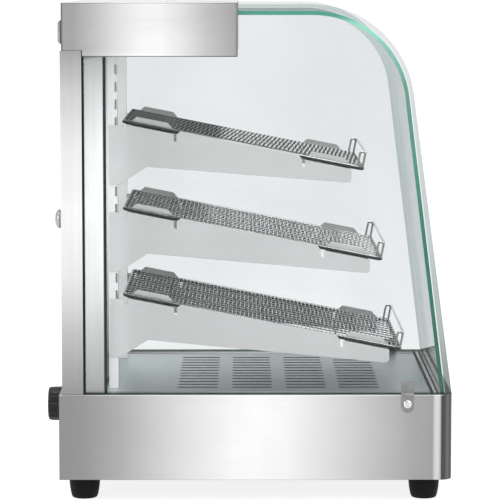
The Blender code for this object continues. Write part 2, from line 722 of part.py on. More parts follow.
def make_thermometer():
    """Thermometer on the rear of the header: a chamfered bezel round a dark display."""
    rear = HEADER_FROM - GAP
    low, high = BEZEL_HEIGHTS
    x = (BEZEL_X - BEZEL_HALF_WIDTH, BEZEL_X + BEZEL_HALF_WIDTH)
    bezel = box("thermometer_bezel", x, (rear - BEZEL_PROUD, rear), (low, high))
    inside = (x[0] + BEZEL_RIM, x[1] - BEZEL_RIM)
    window = box("thermometer_window", inside, (-0.02, rear - 0.0020), (low + BEZEL_RIM, high - BEZEL_RIM))
    add(cut(bevel(bezel, 0.0030, 1, 80), window), "black_plastic")
    rim = BEZEL_RIM + GAP
    display = box(
        "thermometer_display", (x[0] + rim, x[1] - rim), (rear - 0.0040, rear - 0.0023), (low + rim, high - rim)
    )
    add(display, "black_plastic")


# ---- glass --------------------------------------------------------------------------------------
def make_glass():
    """Two side panes, and one curved front sheet between them that stops short of their edges."""
    line = glass_line(**PANE_LINE)
    pane = [(PANE_REAR, BASE_TOP + GAP), *reversed(line), (PANE_REAR, PANE_LINE["top"])]
    for hand, side in (("left", -1), ("right", 1)):
        x = sorted((side * PANE_OUTER, side * (PANE_OUTER - GLASS)))
        add(side_plate(f"side_glass_{hand}", [pane], x), "clear_glass")
    tail, top = HEADER_TO - 0.010, FRONT_LINE["top"]
    sheet = [(tail, top), *glass_line(**FRONT_LINE)]
    sheet += [*reversed(glass_line(**FRONT_LINE, inset=GLASS)), (tail, top - GLASS)]
    add(side_plate("front_glass", [sheet], (-FRONT_HALF_WIDTH, FRONT_HALF_WIDTH)), "clear_glass")


def make_clips():
    """Z-bent clips that hold the side panes against the base, each with one pan-head screw."""
    for hand, side in (("left", -1), ("right", 1)):
        pane_face = PANE_OUTER + GAP
        base_face = HALF_WIDTH + GAP
        lower_from = CLIP_SCREW_HEIGHT - 0.003
        step = BASE_TOP + GAP
        radius = CLIP_WIDTH / 2
        rounded = arc((CLIP_DEPTH, lower_from), radius, 180, 360, 8)
        leg = [*rounded, (CLIP_DEPTH + radius, step + CLIP_SHEET), (CLIP_DEPTH - radius, step + CLIP_SHEET)]
        hole = circle((CLIP_DEPTH, CLIP_SCREW_HEIGHT), 0.0023, 12)
        x = sorted((side * base_face, side * (base_face + CLIP_SHEET)))
        clip = as_mesh(side_plate(f"glass_clip_{hand}", [leg, hole], x))
        width = (CLIP_DEPTH - radius, CLIP_DEPTH + radius)
        x = sorted((side * pane_face, side * (base_face + CLIP_SHEET / 2)))
        shelf = box(f"clip_shelf_{hand}", x, width, (step, step + CLIP_SHEET))
        x = sorted((side * pane_face, side * (pane_face + CLIP_SHEET)))
        tongue = box(f"clip_tongue_{hand}", x, width, (step, CLIP_TOP))
        add(join(clip, shelf, tongue), "chrome")

        head = base_face + CLIP_SHEET + GAP
        profile = [(0.0, 0.0020), (0.0025, 0.0018), (0.0042, 0.0011), (0.0050, 0.0), (0.0019, 0.0), (0.0019, -0.008)]
        profile.append((0.0, -0.008))
        place = Matrix.Translation((side * head, y_at(CLIP_DEPTH), CLIP_SCREW_HEIGHT))
        turned(f"clip_screw_{hand}", profile, place @ Matrix.Rotation(side * math.pi / 2, 4, "Y"), "chrome", 16)


def turned(name, profile, matrix, finish, steps):
    """A turned solid from a profile of (radius, height), top to bottom, spun round local Z."""
    bm = bmesh.new()
    verts = [bm.verts.new((r, 0.0, h)) for r, h in profile]
    for a, b in zip(verts, verts[1:]):
        bm.edges.new((a, b))
    obj = mesh_object(name, bm)
    obj.matrix_world = matrix
    screw = obj.modifiers.new("turn", "SCREW")
    screw.axis = "Z"
    screw.steps = steps
    screw.render_steps = steps
    screw.use_merge_vertices = True
    screw.merge_threshold = 1e-5
    screw.use_smooth_shade = True
    return add(obj, finish)


# ---- shelf brackets -----------------------------------------------------------------------------
def recess_height(flange_top, depth):
    """Height of the recessed top edge of a bracket arm."""
    return flange_top + 0.0008 - RACK_SLOPE * (depth - 0.082)


def bracket_outline(flange_top, arm_end):
    """Bracket plate: a hooked rear flange and a tapering arm with two recesses in its top edge."""
    def edge(depth, lift=0.0):
        return depth, recess_height(flange_top, depth) + lift

    front = arm_end - FRONT_RECESS
    nose_bottom = recess_height(flange_top, arm_end) - 0.0166
    nose_radius = 0.005
    points = [(BRACKET_REAR, flange_top - FLANGE_HEIGHT), (0.0725, flange_top - FLANGE_HEIGHT)]
    points.append((0.107, flange_top - 0.051))
    points += arc((arm_end - nose_radius, nose_bottom + nose_radius), nose_radius, 270, 360, 4)
    points += [edge(arm_end), edge(front + 0.0037), edge(front + 0.0037, -0.009), edge(front, -0.009)]
    points += [edge(front), edge(front - 0.005, RAISED_EDGE), edge(0.148, RAISED_EDGE)]
    points += [edge(0.143), edge(0.143, -0.009), edge(0.1395, -0.009), edge(0.1395)]
    points += [edge(0.082), edge(0.082, -0.008), edge(0.078, -0.008), (0.078, flange_top), (BRACKET_REAR, flange_top)]
    return points


def ear_outline(flange_top, start, end):
    """A bent-up ear whose bottom edge follows the ledge and whose upper corners are chamfered."""
    def at(depth, lift):
        return depth, recess_height(flange_top, depth) + lift

    low = -BRACKET_SHEET - GAP
    return [
        at(start, low),
        at(end, low),
        at(end, EAR_HEIGHT - EAR_CHAMFER),
        at(end - EAR_CHAMFER, EAR_HEIGHT),
        at(start + EAR_CHAMFER, EAR_HEIGHT),
        at(start, EAR_HEIGHT - EAR_CHAMFER),
    ]


def make_bracket(level, hand, side):
    """One shelf bracket: arm, two ledges with ears, and two hooks in the upright's slots."""
    flange_top = FLANGE_TOPS[level]
    arm_end = ARM_ENDS[level]
    name = f"bracket_{level}_{hand}"
    x = sorted((side * BRACKET_INNER, side * (BRACKET_INNER + BRACKET_SHEET)))
    plate = as_mesh(side_plate(name, [bracket_outline(flange_top, arm_end)], x))
    front_ear = (arm_end - FRONT_EAR - 0.0015, arm_end - 0.0015)
    ear_x = sorted((side * (BRACKET_INNER - LEDGE), side * (BRACKET_INNER - LEDGE - BRACKET_SHEET)))
    ledge_x = sorted((side * (BRACKET_INNER - LEDGE - BRACKET_SHEET / 2), side * (BRACKET_INNER + BRACKET_SHEET / 2)))
    for end, (start, stop) in (("rear", REAR_EAR), ("front", front_ear)):
        ear = as_mesh(side_plate(f"{name}_{end}_ear", [ear_outline(flange_top, start, stop)], ear_x))
        ledge = []
        for depth, lift in ((start, -BRACKET_SHEET), (stop, -BRACKET_SHEET), (stop, -GAP), (start, -GAP)):
            inward = 0.001 if depth == start else -0.001
            ledge.append((depth + inward, recess_height(flange_top, depth + inward) + lift))
        join(plate, as_mesh(side_plate(f"{name}_{end}_ledge", [ledge], ledge_x)), ear)
    for number, drop in enumerate(HOOK_DROP):
        hook_x = sorted((side * (BRACKET_INNER - 0.004), side * (BRACKET_INNER + BRACKET_SHEET / 2)))
        hook_z = (flange_top - drop - 0.007, flange_top - drop)
        join(plate, box(f"{name}_hook_{number}", hook_x, (UPRIGHT_TO - 0.0024, UPRIGHT_TO - 0.0004), hook_z))
    add(plate, "satin_steel")


# ---- wire racks ---------------------------------------------------------------------------------
def make_rack(level):
    """Sloping wire rack: a round frame, lengthwise wires on cross wires, and a low front fence."""
    flange_top = FLANGE_TOPS[level]
    front = ARM_ENDS[level] + RACK_OVERHANG
    tilt = math.atan(RACK_SLOPE)
    rise = (ROD_RADIUS + GAP) / math.cos(tilt)
    # local x across, local y forward down the slope, local z out of the rack
    across = Vector((-1, 0, 0))
    along = Vector((0, -math.cos(tilt), -math.sin(tilt)))
    out = across.cross(along)
    origin = Vector((0, y_at(RACK_REAR), recess_height(flange_top, RACK_REAR) + rise))
    place = Matrix.Translation(origin) @ Matrix((across, along, out)).transposed().to_4x4()
    length = (front - RACK_REAR) / math.cos(tilt)
    half = RACK_HALF_WIDTH

    corner = 0.004
    loop = []
    for cx, cy, start in (
        (half - corner, length - corner, 0),
        (-half + corner, length - corner, 90),
        (-half + corner, corner, 180),
        (half - corner, corner, 270),
    ):
        loop += [(a, b, 0.0) for a, b in arc((cx, cy), corner, start, start + 90, 2)]
    frame = as_mesh(rod(f"rack_{level}", loop, ROD_RADIUS, True, place))

    pitch = 2 * half / WIRE_GAPS
    grid = [rectangle((-half, half), (0.0, length))]
    bars = [0.0, 0.075, length - 0.080, length]
    for rear_bar, front_bar in zip(bars, bars[1:]):
        for i in range(WIRE_GAPS):
            x = (-half + i * pitch + WIRE / 2, -half + (i + 1) * pitch - WIRE / 2)
            grid.append(rectangle(x, (rear_bar + WIRE / 2, front_bar - WIRE / 2)))
    lift = Matrix.Translation((0, 0, 0.0010))
    mat = as_mesh(filled_curve(f"rack_{level}_wires", grid, WIRE, place @ lift))

    inset = half - 0.0015
    fence = [(-inset, length, 0.0), (-inset, length, FENCE_HEIGHT), (inset, length, FENCE_HEIGHT), (inset, length, 0.0)]
    rail = as_mesh(rod(f"rack_{level}_fence", fence, 0.0015, False, place))
    add(join(frame, mat, rail), "chrome")


# ---- door ---------------------------------------------------------------------------------------
def make_door():
    """Hinged glass door: pane, a clamp shoe at each hinge corner, and a domed pull."""
    pane = box(
        "door_glass",
        (-DOOR_HALF_WIDTH, DOOR_HALF_WIDTH),
        (DOOR_FROM, DOOR_FROM + DOOR_GLASS_THICKNESS),
        (DOOR_BOTTOM, DOOR_TOP),
    )
    add(pane, "clear_glass")
    x = (DOOR_HALF_WIDTH - SHOE_LENGTH, DOOR_HALF_WIDTH)
    depth = (HINGE_DEPTH - SHOE_HALF_DEPTH, HINGE_DEPTH + SHOE_HALF_DEPTH)
    slot_depth = (DOOR_FROM - GAP, DOOR_FROM + DOOR_GLASS_THICKNESS + GAP)
    for end, edge, way in (("bottom", DOOR_BOTTOM, 1), ("top", DOOR_TOP, -1)):
        z = sorted((edge - way * 0.0029, edge + way * (SHOE_HEIGHT - 0.0029)))
        shoe = box(f"door_shoe_{end}", x, depth, z)
        z = sorted((edge - way * GAP, edge + way * SHOE_HEIGHT))
        slot = box(f"shoe_slot_{end}", (x[0] - 0.001, x[1] + 0.001), slot_depth, z)
        hole = cylinder(
            f"shoe_hole_{end}", (HINGE_X, y_at(HINGE_DEPTH), edge), (0, 0, 1), PIN_RADIUS + 0.0004, 0.02, 16
        )
        add(cut(shoe, slot, hole), "chrome")
        # fixed pivot: a thin plate with a pin that stands in the shoe
        foot = edge - way * 0.0040
        z = sorted((foot, foot + way * 0.0008))
        plate = box(f"door_pivot_{end}", (HINGE_X - 0.008, HINGE_X + 0.006), (0.001, 0.024), z)
        pin_length = 0.0035
        pin_centre = (HINGE_X, y_at(HINGE_DEPTH), foot + way * pin_length / 2)
        pin = cylinder(f"pivot_pin_{end}", pin_centre, (0, 0, 1), PIN_RADIUS, pin_length, 16)
        add(join(plate, pin), "satin_steel")

    profile = [(0.0, 0.0085), (0.0050, 0.0080), (0.0095, 0.0062), (0.0120, 0.0030), (0.0120, 0.0012)]
    profile += [(0.0105, 0.0), (0.0, 0.0)]
    place = Matrix.Translation((PULL_X, y_at(DOOR_FROM - GAP), PULL_HEIGHT))
    turned("door_pull", profile, place @ Matrix.Rotation(-math.pi / 2, 4, "X"), "chrome", 24)


def make_door_catch():
    """Magnetic catch that hangs from the rear wall of the header, just inside the door."""
    inside = DOOR_FROM + DOOR_GLASS_THICKNESS + 0.0006
    catch = box("door_catch", (-0.140, -0.110), (inside, inside + 0.012), (0.534, HEADER_REAR_BOTTOM - GAP))
    add(bevel(catch, 0.001, 1), "black_plastic")


# ---- the whole case -----------------------------------------------------------------------------
make_base()
make_rear_panel()
make_bottom_plate()
make_floor()
make_feet()
make_heaters()
make_thermostat()
make_switches()
make_pilot_lamp()
make_inlet()
make_terminal_block()
make_posts()
make_uprights()
make_header()
make_lamp()
make_thermometer()
make_glass()
make_clips()
for shelf in FLANGE_TOPS:
    for shelf_hand, shelf_side in (("left", -1), ("right", 1)):
        make_bracket(shelf, shelf_hand, shelf_side)
    make_rack(shelf)
make_door()
make_door_catch()
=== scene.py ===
"""Looks of the countertop hot food display case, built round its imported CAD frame.

Metres, +Z up. -Y is the customers' side (curved glass), +Y the operator's side (door, controls).
"depth" is measured forward from the rear face of the base, as in the part's own source.
"""
import math

import bmesh
import bpy
from mathutils import Matrix, Vector


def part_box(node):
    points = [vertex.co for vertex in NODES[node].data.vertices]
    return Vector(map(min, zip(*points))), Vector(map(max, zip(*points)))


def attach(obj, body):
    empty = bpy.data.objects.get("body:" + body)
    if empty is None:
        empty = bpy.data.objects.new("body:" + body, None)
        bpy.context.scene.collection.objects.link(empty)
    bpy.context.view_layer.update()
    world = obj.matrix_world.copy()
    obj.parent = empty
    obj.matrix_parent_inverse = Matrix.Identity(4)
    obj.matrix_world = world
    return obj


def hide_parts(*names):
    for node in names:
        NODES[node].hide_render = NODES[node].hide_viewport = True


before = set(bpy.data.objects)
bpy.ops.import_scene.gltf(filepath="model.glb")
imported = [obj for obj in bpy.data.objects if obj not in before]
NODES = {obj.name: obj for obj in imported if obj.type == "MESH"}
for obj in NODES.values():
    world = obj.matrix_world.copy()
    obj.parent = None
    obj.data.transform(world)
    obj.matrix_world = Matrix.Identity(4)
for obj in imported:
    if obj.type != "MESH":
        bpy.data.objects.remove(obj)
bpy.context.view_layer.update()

BASE_LOW, BASE_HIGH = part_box("base_shell")
HEADER_LOW, HEADER_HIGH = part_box("header_shell")
FLOOR_LOW, FLOOR_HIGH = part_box("floor_panel")
REAR_FACE_Y = BASE_HIGH.y
HALF_WIDTH = BASE_HIGH.x
SHEET = 0.0012
GAP = 0.0003  # clearance between neighbouring pieces
PANE_OUTER = HALF_WIDTH - 0.0017
GLASS = 0.005
# the outlines of the side panes and of the curved sheet: heights, depth at the foot, slant in degrees
PANE_LINE = {"top": 0.6065, "foot": 0.4790, "slant": 7.6, "radius": 0.1250}
FRONT_LINE = {"top": 0.5980, "foot": 0.4705, "slant": 7.1, "radius": 0.1175}
BASE_TOP = BASE_HIGH.z


def y_at(depth):
    return REAR_FACE_Y - depth


# ---- camera, light, floor -----------------------------------------------------------------------
CAMERA_LENS = 185.9
CAMERA_PLACE = (-3.30, y_at(0.225), 0.636)
CAMERA_TARGET = Vector((-HALF_WIDTH, y_at(0.2329), 0.3097))
ROOM_COLOUR = (1.0, 1.0, 0.995, 1.0)
ROOM_STRENGTH = 0.95
SOFTBOX_AIM = Vector((0, 0, 0.3))
SOFTBOXES = (  # name, place, size, power
    ("top_softbox", (-0.3, 0.1, 2.4), (2.2, 2.2), 34),
    ("camera_side_softbox", (-2.6, -1.6, 1.5), (1.2, 1.6), 18),
    ("operator_side_softbox", (-1.6, 2.4, 1.2), (1.2, 1.6), 14),
)
STAGE_RADIUS = 180.0
STAGE_TONE = 0.30
STAGE_GLOW = 0.84


def make_camera():
    data = bpy.data.cameras.new("camera")
    data.lens = CAMERA_LENS
    data.sensor_width = 36.0
    data.clip_start = 0.1
    data.clip_end = 400.0
    camera = bpy.data.objects.new("camera", data)
    camera.location = CAMERA_PLACE
    camera.rotation_euler = (CAMERA_TARGET - camera.location).to_track_quat("-Z", "Y").to_euler()
    bpy.context.scene.collection.objects.link(camera)
    bpy.context.scene.camera = camera


def area_light(name, location, size, power):
    data = bpy.data.lights.new(name, "AREA")
    data.shape = "RECTANGLE"
    data.size, data.size_y = size
    data.energy = power
    light = bpy.data.objects.new(name, data)
    light.location = location
    light.rotation_euler = (SOFTBOX_AIM - light.location).to_track_quat("-Z", "Y").to_euler()
    bpy.context.scene.collection.objects.link(light)


def make_stage():
    world = bpy.data.worlds.new("studio")
    bpy.context.scene.world = world
    world.use_nodes = True
    background = world.node_tree.nodes["Background"]
    background.inputs["Color"].default_value = ROOM_COLOUR
    background.inputs["Strength"].default_value = ROOM_STRENGTH
    for softbox in SOFTBOXES:
        area_light(*softbox)

    bm = bmesh.new()
    bmesh.ops.create_circle(bm, cap_ends=True, segments=96, radius=STAGE_RADIUS)
    mesh = bpy.data.meshes.new("floor")
    bm.to_mesh(mesh)
    bm.free()
    floor = bpy.data.objects.new("floor", mesh)
    bpy.context.scene.collection.objects.link(floor)
    material = bpy.data.materials.new("pale_floor")
    material.use_nodes = True
    tree = material.node_tree
    tree.nodes.clear()
    diffuse = tree.nodes.new("ShaderNodeBsdfDiffuse")
    diffuse.inputs["Color"].default_value = (STAGE_TONE, STAGE_TONE, STAGE_TONE, 1.0)
    glow = tree.nodes.new("ShaderNodeEmission")
    glow.inputs["Color"].default_value = (1.0, 1.0, 1.0, 1.0)
    glow.inputs["Strength"].default_value = STAGE_GLOW
    both = tree.nodes.new("ShaderNodeAddShader")
    out = tree.nodes.new("ShaderNodeOutputMaterial")
    tree.links.new(diffuse.outputs[0], both.inputs[0])
    tree.links.new(glow.outputs[0], both.inputs[1])
    tree.links.new(both.outputs[0], out.inputs["Surface"])
    mesh.materials.append(material)
    view = bpy.context.scene.view_settings
    view.view_transform = "Standard"
    view.look = "None"


# ---- material helpers ---------------------------------------------------------------------------
class Recipe:
    """A node material around one Principled shader, with short ways to add the usual textures."""

    def __init__(self, name, colour, roughness, metallic=0.0, **sockets):
        self.material = bpy.data.materials.new(name)
        self.material.use_nodes = True
        self.tree = self.material.node_tree
        self.shader = self.tree.nodes["Principled BSDF"]
        self.set("Base Color", (*colour, 1.0))
        self.set("Roughness", roughness)
        self.set("Metallic", metallic)
        for socket, value in sockets.items():
            self.set(socket.replace("_", " "), value)
        self.coordinates = self.node("ShaderNodeTexCoord").outputs["Object"]

    def set(self, socket, value):
        self.shader.inputs[socket].default_value = value

    def node(self, kind, **properties):
        made = self.tree.nodes.new(kind)
        for key, value in properties.items():
            setattr(made, key, value)
        return made

    def link(self, source, target):
        self.tree.links.new(source, target)

    def drive(self, socket, source):
        """Let a texture set one of the shader's own sockets."""
        self.link(source, self.shader.inputs[socket])

    def noise(self, scale, detail=3.0, rough=0.5, distortion=0.0):
        """Noise whose grain size is 1 / scale per axis, in metres."""
        mapping = self.node("ShaderNodeMapping")
        mapping.inputs["Scale"].default_value = scale if isinstance(scale, tuple) else (scale,) * 3
        self.link(self.coordinates, mapping.inputs["Vector"])
        noise = self.node("ShaderNodeTexNoise")
        noise.inputs["Scale"].default_value = 1.0
        noise.inputs["Detail"].default_value = detail
        noise.inputs["Roughness"].default_value = rough
        noise.inputs["Distortion"].default_value = distortion
        self.link(mapping.outputs[0], noise.inputs["Vector"])
        return noise.outputs["Fac"]

    def ramp(self, factor, stops, blend="EASE"):
        """Colours along a factor; a stop is (position, grey) or (position, (r, g, b))."""
        ramp = self.node("ShaderNodeValToRGB")
        ramp.color_ramp.interpolation = blend
        elements = ramp.color_ramp.elements
        while len(elements) > 1:
            elements.remove(elements[-1])
        for index, (position, colour) in enumerate(stops):
            element = elements[0] if index == 0 else elements.new(position)
            element.position = position
            rgb = colour if isinstance(colour, tuple) else (colour,) * 3
            element.color = (*rgb, 1.0)
        self.link(factor, ramp.inputs["Fac"])
        return ramp.outputs["Color"]

    def spread(self, factor, low, high, start=0.3, stop=0.7):
        """The factor stretched from start..stop to low..high."""
        span = self.node("ShaderNodeMapRange")
        for socket, value in (("From Min", start), ("From Max", stop), ("To Min", low), ("To Max", high)):
            span.inputs[socket].default_value = value
        self.link(factor, span.inputs["Value"])
        return span.outputs["Result"]

    def parts(self, vector):
        """The X, Y and Z of a vector."""
        made = self.node("ShaderNodeSeparateXYZ")
        self.link(vector, made.inputs[0])
        return made.outputs

    def geometry(self, output):
        """The X, Y and Z of a geometry output, in the row frame."""
        return self.parts(self.node("ShaderNodeNewGeometry").outputs[output])

    def along(self, axis, low, high):
        """0 to 1 from low to high along an axis of the piece's own frame."""
        return self.spread(self.parts(self.coordinates)[axis], 0.0, 1.0, low, high)

    def height(self, low, high):
        """0 to 1 from low to high above the worktop, whatever way the piece itself is turned."""
        return self.spread(self.geometry("Position")["Z"], 0.0, 1.0, low, high)

    def math(self, operation, a, b):
        made = self.node("ShaderNodeMath", operation=operation)
        for socket, value in zip(made.inputs, (a, b)):
            if isinstance(value, (int, float)):
                socket.default_value = value
            else:
                self.link(value, socket)
        return made.outputs[0]

    def mix(self, factor, a, b, kind="MIX"):
        made = self.node("ShaderNodeMix", data_type="RGBA", blend_type=kind)
        for index, value in ((0, factor), (6, a), (7, b)):
            if isinstance(value, (int, float)):
                made.inputs[index].default_value = value
            elif isinstance(value, tuple):
                made.inputs[index].default_value = (*value, 1.0)
            else:
                self.link(value, made.inputs[index])
        return made.outputs[2]

    def times(self, a, b):
        """One colour times another."""
        return self.mix(1.0, a, b, "MULTIPLY")

    def facing(self, axis):
        """How far the surface faces along an axis of the row frame, either way: 0 to 1."""
        return self.math("ABSOLUTE", self.geometry("Normal")[axis], 0.0)

    def upward(self, stops, normal="True Normal"):
        """Tones by how far the surface faces up, for painted light and shade: 0 is straight down, 0.5 level
        and 1 straight up.
        """
        return self.ramp(self.spread(self.geometry(normal)["Z"], 0.0, 1.0, -1.0, 1.0), stops)

    def inward(self):
        """1 where the surface faces the middle of the case across it, 0 where it faces away; the mask of the
        painted shade inside the case.
        """
        product = self.math("MULTIPLY", self.geometry("True Normal")["X"], self.parts(self.coordinates)["X"])
        return self.spread(product, 1.0, 0.0, -0.06, 0.0)

    def bump(self, height, strength, distance):
        bump = self.node("ShaderNodeBump")
        bump.inputs["Strength"].default_value = strength
        bump.inputs["Distance"].default_value = distance
        self.link(height, bump.inputs["Height"])
        self.drive("Normal", bump.outputs[0])


def grain_across(axis, fine, coarse):
    """A noise scale that is fine along one axis and coarse along the other two."""
    return tuple(fine if name == axis else coarse for name in "xyz")


def steel(
    name, tone, roughness=0.32, brush="z", painted_sheen=(), warm=0.0, streak=0.05, painted_edge_light=(), corner=(), inner=1.0,
    top=None, green=0.0, metal=1.0, glow=()
):
    """Brushed stainless sheet. brush is the axis the fine scratches lie across; sheen is a list of
    (axis, low, high, stops) bands of painted highlight and shade, each multiplied in; rim gives the painted
    highlight and shade of rounded edges by the way they face; corner gives painted reflection bands round a
    folded corner, from the side (0) to the front (1); inner is the painted shade of the faces that look into
    the case, top the flat painted light of those that face up, and glow an (axis, low, high, stops) band of
    painted light, given off as emission, that follows the colour."""
    base_colour = (tone * (1 - green), tone, tone * (1 - warm))
    recipe = Recipe(name, base_colour, roughness, metal)
    scratches = recipe.noise(grain_across(brush, 1500, 9), 4.0, 0.6)
    bands = recipe.noise(grain_across(brush, 260, 3), 2.0, 0.5)
    cloud = recipe.noise(9.0, 2.0)
    mottle = recipe.math("ADD", recipe.math("MULTIPLY", scratches, 0.5), recipe.math("MULTIPLY", bands, 0.5))
    level = recipe.spread(mottle, 1.0 - streak, 1.0 + streak, 0.35, 0.65)
    level = recipe.math("MULTIPLY", level, recipe.spread(cloud, 0.97, 1.03))
    colour = recipe.times(base_colour, level)
    # painted highlight and shade: soft bands along the piece's own axes, multiplied into the colour
    for axis, low, high, stops in painted_sheen:
        colour = recipe.times(colour, recipe.ramp(recipe.along(axis, low, high), stops, "LINEAR"))
    # painted highlight and shade on rounded edges, by the way they face
    if painted_edge_light:
        colour = recipe.times(colour, recipe.upward(painted_edge_light))
    # painted light: faces that look straight up take one flat tone of their own
    if top is not None:
        upper_face = recipe.upward(((0.0, 0.0), (0.93, 0.0), (0.985, 1.0), (1.0, 1.0)))
        painted_top_tone = recipe.times((top,) * 3, recipe.spread(cloud, 0.92, 1.08))
        colour = recipe.mix(upper_face, colour, painted_top_tone)
    # painted reflection bands round a folded corner, by how far the surface faces the front
    if corner:
        colour = recipe.times(colour, recipe.ramp(recipe.facing("Y"), corner))
    # painted light: emission in the surface's own colour, though the sheet is no lamp
    if glow:
        axis, low, high, stops = glow
        recipe.drive("Emission Strength", recipe.ramp(recipe.along(axis, low, high), stops, "CONSTANT"))
        recipe.drive("Emission Color", colour)
    # painted shade: darker on the faces that look into the case
    if inner != 1.0:
        colour = recipe.mix(recipe.inward(), colour, recipe.times(colour, (inner,) * 3))
    recipe.drive("Base Color", colour)
    recipe.drive("Roughness", recipe.spread(mottle, roughness - 0.06, roughness + 0.08))
    recipe.bump(scratches, 0.12, 0.00006)
    return recipe.material


def plated(name, tone, roughness):
    """Bright plating with a faint haze and fine polishing marks."""
    recipe = Recipe(name, (tone, tone, tone * 1.01), roughness, 1.0)
    haze = recipe.noise(180.0, 3.0)
    marks = recipe.noise((700, 700, 90), 3.0)
    recipe.drive("Base Color", recipe.ramp(haze, ((0.3, tone * 0.86), (0.7, tone * 1.08))))
    recipe.drive("Roughness", recipe.spread(marks, roughness - 0.04, roughness + 0.10))
    recipe.bump(haze, 0.06, 0.00008)
    return recipe.material


def wire_plating(name, top, side, under_shade, painted_lift=(), painted_hatch=0.0):
    """Plated wire: a painted highlight along its top, painted shade towards its sides and below. lift gives
    painted light by height over the three racks. hatch is the strength of the painted slanting bars of
    light and shade that stand for what the crossing wires throw on each other."""
    roughness = 0.18
    recipe = Recipe(name, (side, side, side), roughness, 1.0)
    # painted highlight on each wire's top, painted shade on its sides and on the side facing down
    shade = recipe.upward(((0.0, under_shade), (0.45, side), (0.72, side), (0.86, top), (1.0, top)), "Normal")
    # painted light by height, rack by rack
    if painted_lift:
        shade = recipe.times(shade, recipe.ramp(recipe.height(*RACK_HEIGHTS), painted_lift, "LINEAR"))
    marks = recipe.noise((260, 420, 420), 3.0)
    level = recipe.spread(marks, 0.80, 1.20)
    # painted slanting bars of light and shade along the wires
    if painted_hatch:
        place_on_rack = recipe.parts(recipe.coordinates)
        slant = recipe.math("MULTIPLY", place_on_rack["X"], HATCH_SLANT)
        slanted = recipe.math("ADD", place_on_rack["Y"], slant)
        wave = recipe.math("SINE", recipe.math("MULTIPLY", slanted, 2 * math.pi / FINE_PITCH), 0.0)
        level = recipe.math("MULTIPLY", level, recipe.spread(wave, 1.0 - painted_hatch, 1.0 + painted_hatch, -0.7, 0.7))
    recipe.drive("Base Color", recipe.times(shade, level))
    recipe.drive("Roughness", recipe.spread(marks, roughness - 0.05, roughness + 0.10))
    return recipe.material


def moulded(name, colour, roughness, grain=900.0, strength=0.25, **sockets):
    """Moulded plastic or rubber with a fine eroded grain."""
    recipe = Recipe(name, colour, roughness, 0.0, **sockets)
    eroded = recipe.noise(grain, 4.0, 0.6)
    cloud = recipe.noise(35.0, 2.0)
    dark = tuple(c * 0.82 for c in colour)
    light = tuple(min(1.0, c * 1.20 + 0.002) for c in colour)
    recipe.drive("Base Color", recipe.ramp(cloud, ((0.3, dark), (0.7, light))))
    recipe.drive("Roughness", recipe.spread(eroded, roughness - 0.06, roughness + 0.10))
    recipe.bump(eroded, strength, 0.00015)
    return recipe.material


# how much a clear sheet reflects, face on and how much more edge-on
FACE_ON_SHINE = 0.0123
EDGE_ON_SHINE = 0.90
# where the pane starts and ends to take its painted shade, beyond the curved sheet's line
BORDER_FROM, BORDER_TO = 0.0004, 0.0014


def tint_by_height(recipe, stops):
    """Colours by height in a sheet's own plane. A stop is (height, colour)."""
    low, high = stops[0][0], stops[-1][0]
    level = recipe.along("Y", low, high)
    return recipe.ramp(level, [((height - low) / (high - low), rgb) for height, rgb in stops])


def clear_glass(name, tint, gloss=1.0, overhang_shade=(), foot=0.0):
    """Clear sheet: tinted see-through with a reflection that grows edge-on, and a trace of surface
    film. border is the painted shade of the part that stands out past the curved sheet, darker towards
    its foot, as stops of (height, colour), and foot the height of a thin dark line painted low on the pane."""
    recipe = Recipe(name, tint, 0.1)
    film = recipe.noise(7.0, 2.0)
    thin = tuple(c * 0.992 for c in tint)
    thick = tuple(min(1.0, c * 1.006) for c in tint)
    colour = recipe.ramp(film, ((0.35, thin), (0.65, thick)))
    # painted shade on the strip of pane past the curved sheet
    if overhang_shade:
        outside = recipe.spread(past_front_sheet(recipe), 0.0, 1.0, BORDER_FROM, BORDER_TO)
        colour = recipe.mix(outside, colour, tint_by_height(recipe, overhang_shade))
    # a thin dark line painted low on the pane, just above the base
    if foot:
        low = recipe.along("Y", BASE_TOP + foot + 0.0004, BASE_TOP + foot)
        colour = recipe.mix(low, colour, (0.30, 0.36, 0.32))
    through = recipe.node("ShaderNodeBsdfTransparent")
    recipe.link(colour, through.inputs["Color"])
    shine = recipe.node("ShaderNodeBsdfGlossy")
    shine.inputs["Color"].default_value = (0.95 * gloss, 0.97 * gloss, 0.97 * gloss, 1.0)
    shine.inputs["Roughness"].default_value = 0.02
    # Schlick's curve on how edge-on the sheet is seen, the same from both sides of it
    slope = recipe.node("ShaderNodeLayerWeight")
    slope.inputs["Blend"].default_value = 0.5
    curve = recipe.math("MULTIPLY", recipe.math("POWER", slope.outputs["Facing"], 5.0), EDGE_ON_SHINE)
    mix = recipe.node("ShaderNodeMixShader")
    recipe.link(recipe.math("ADD", curve, FACE_ON_SHINE), mix.inputs[0])
    recipe.link(through.outputs[0], mix.inputs[1])
    recipe.link(shine.outputs[0], mix.inputs[2])
    recipe.link(mix.outputs[0], recipe.tree.nodes["Material Output"].inputs["Surface"])
    recipe.tree.nodes.remove(recipe.shader)
    return recipe.material


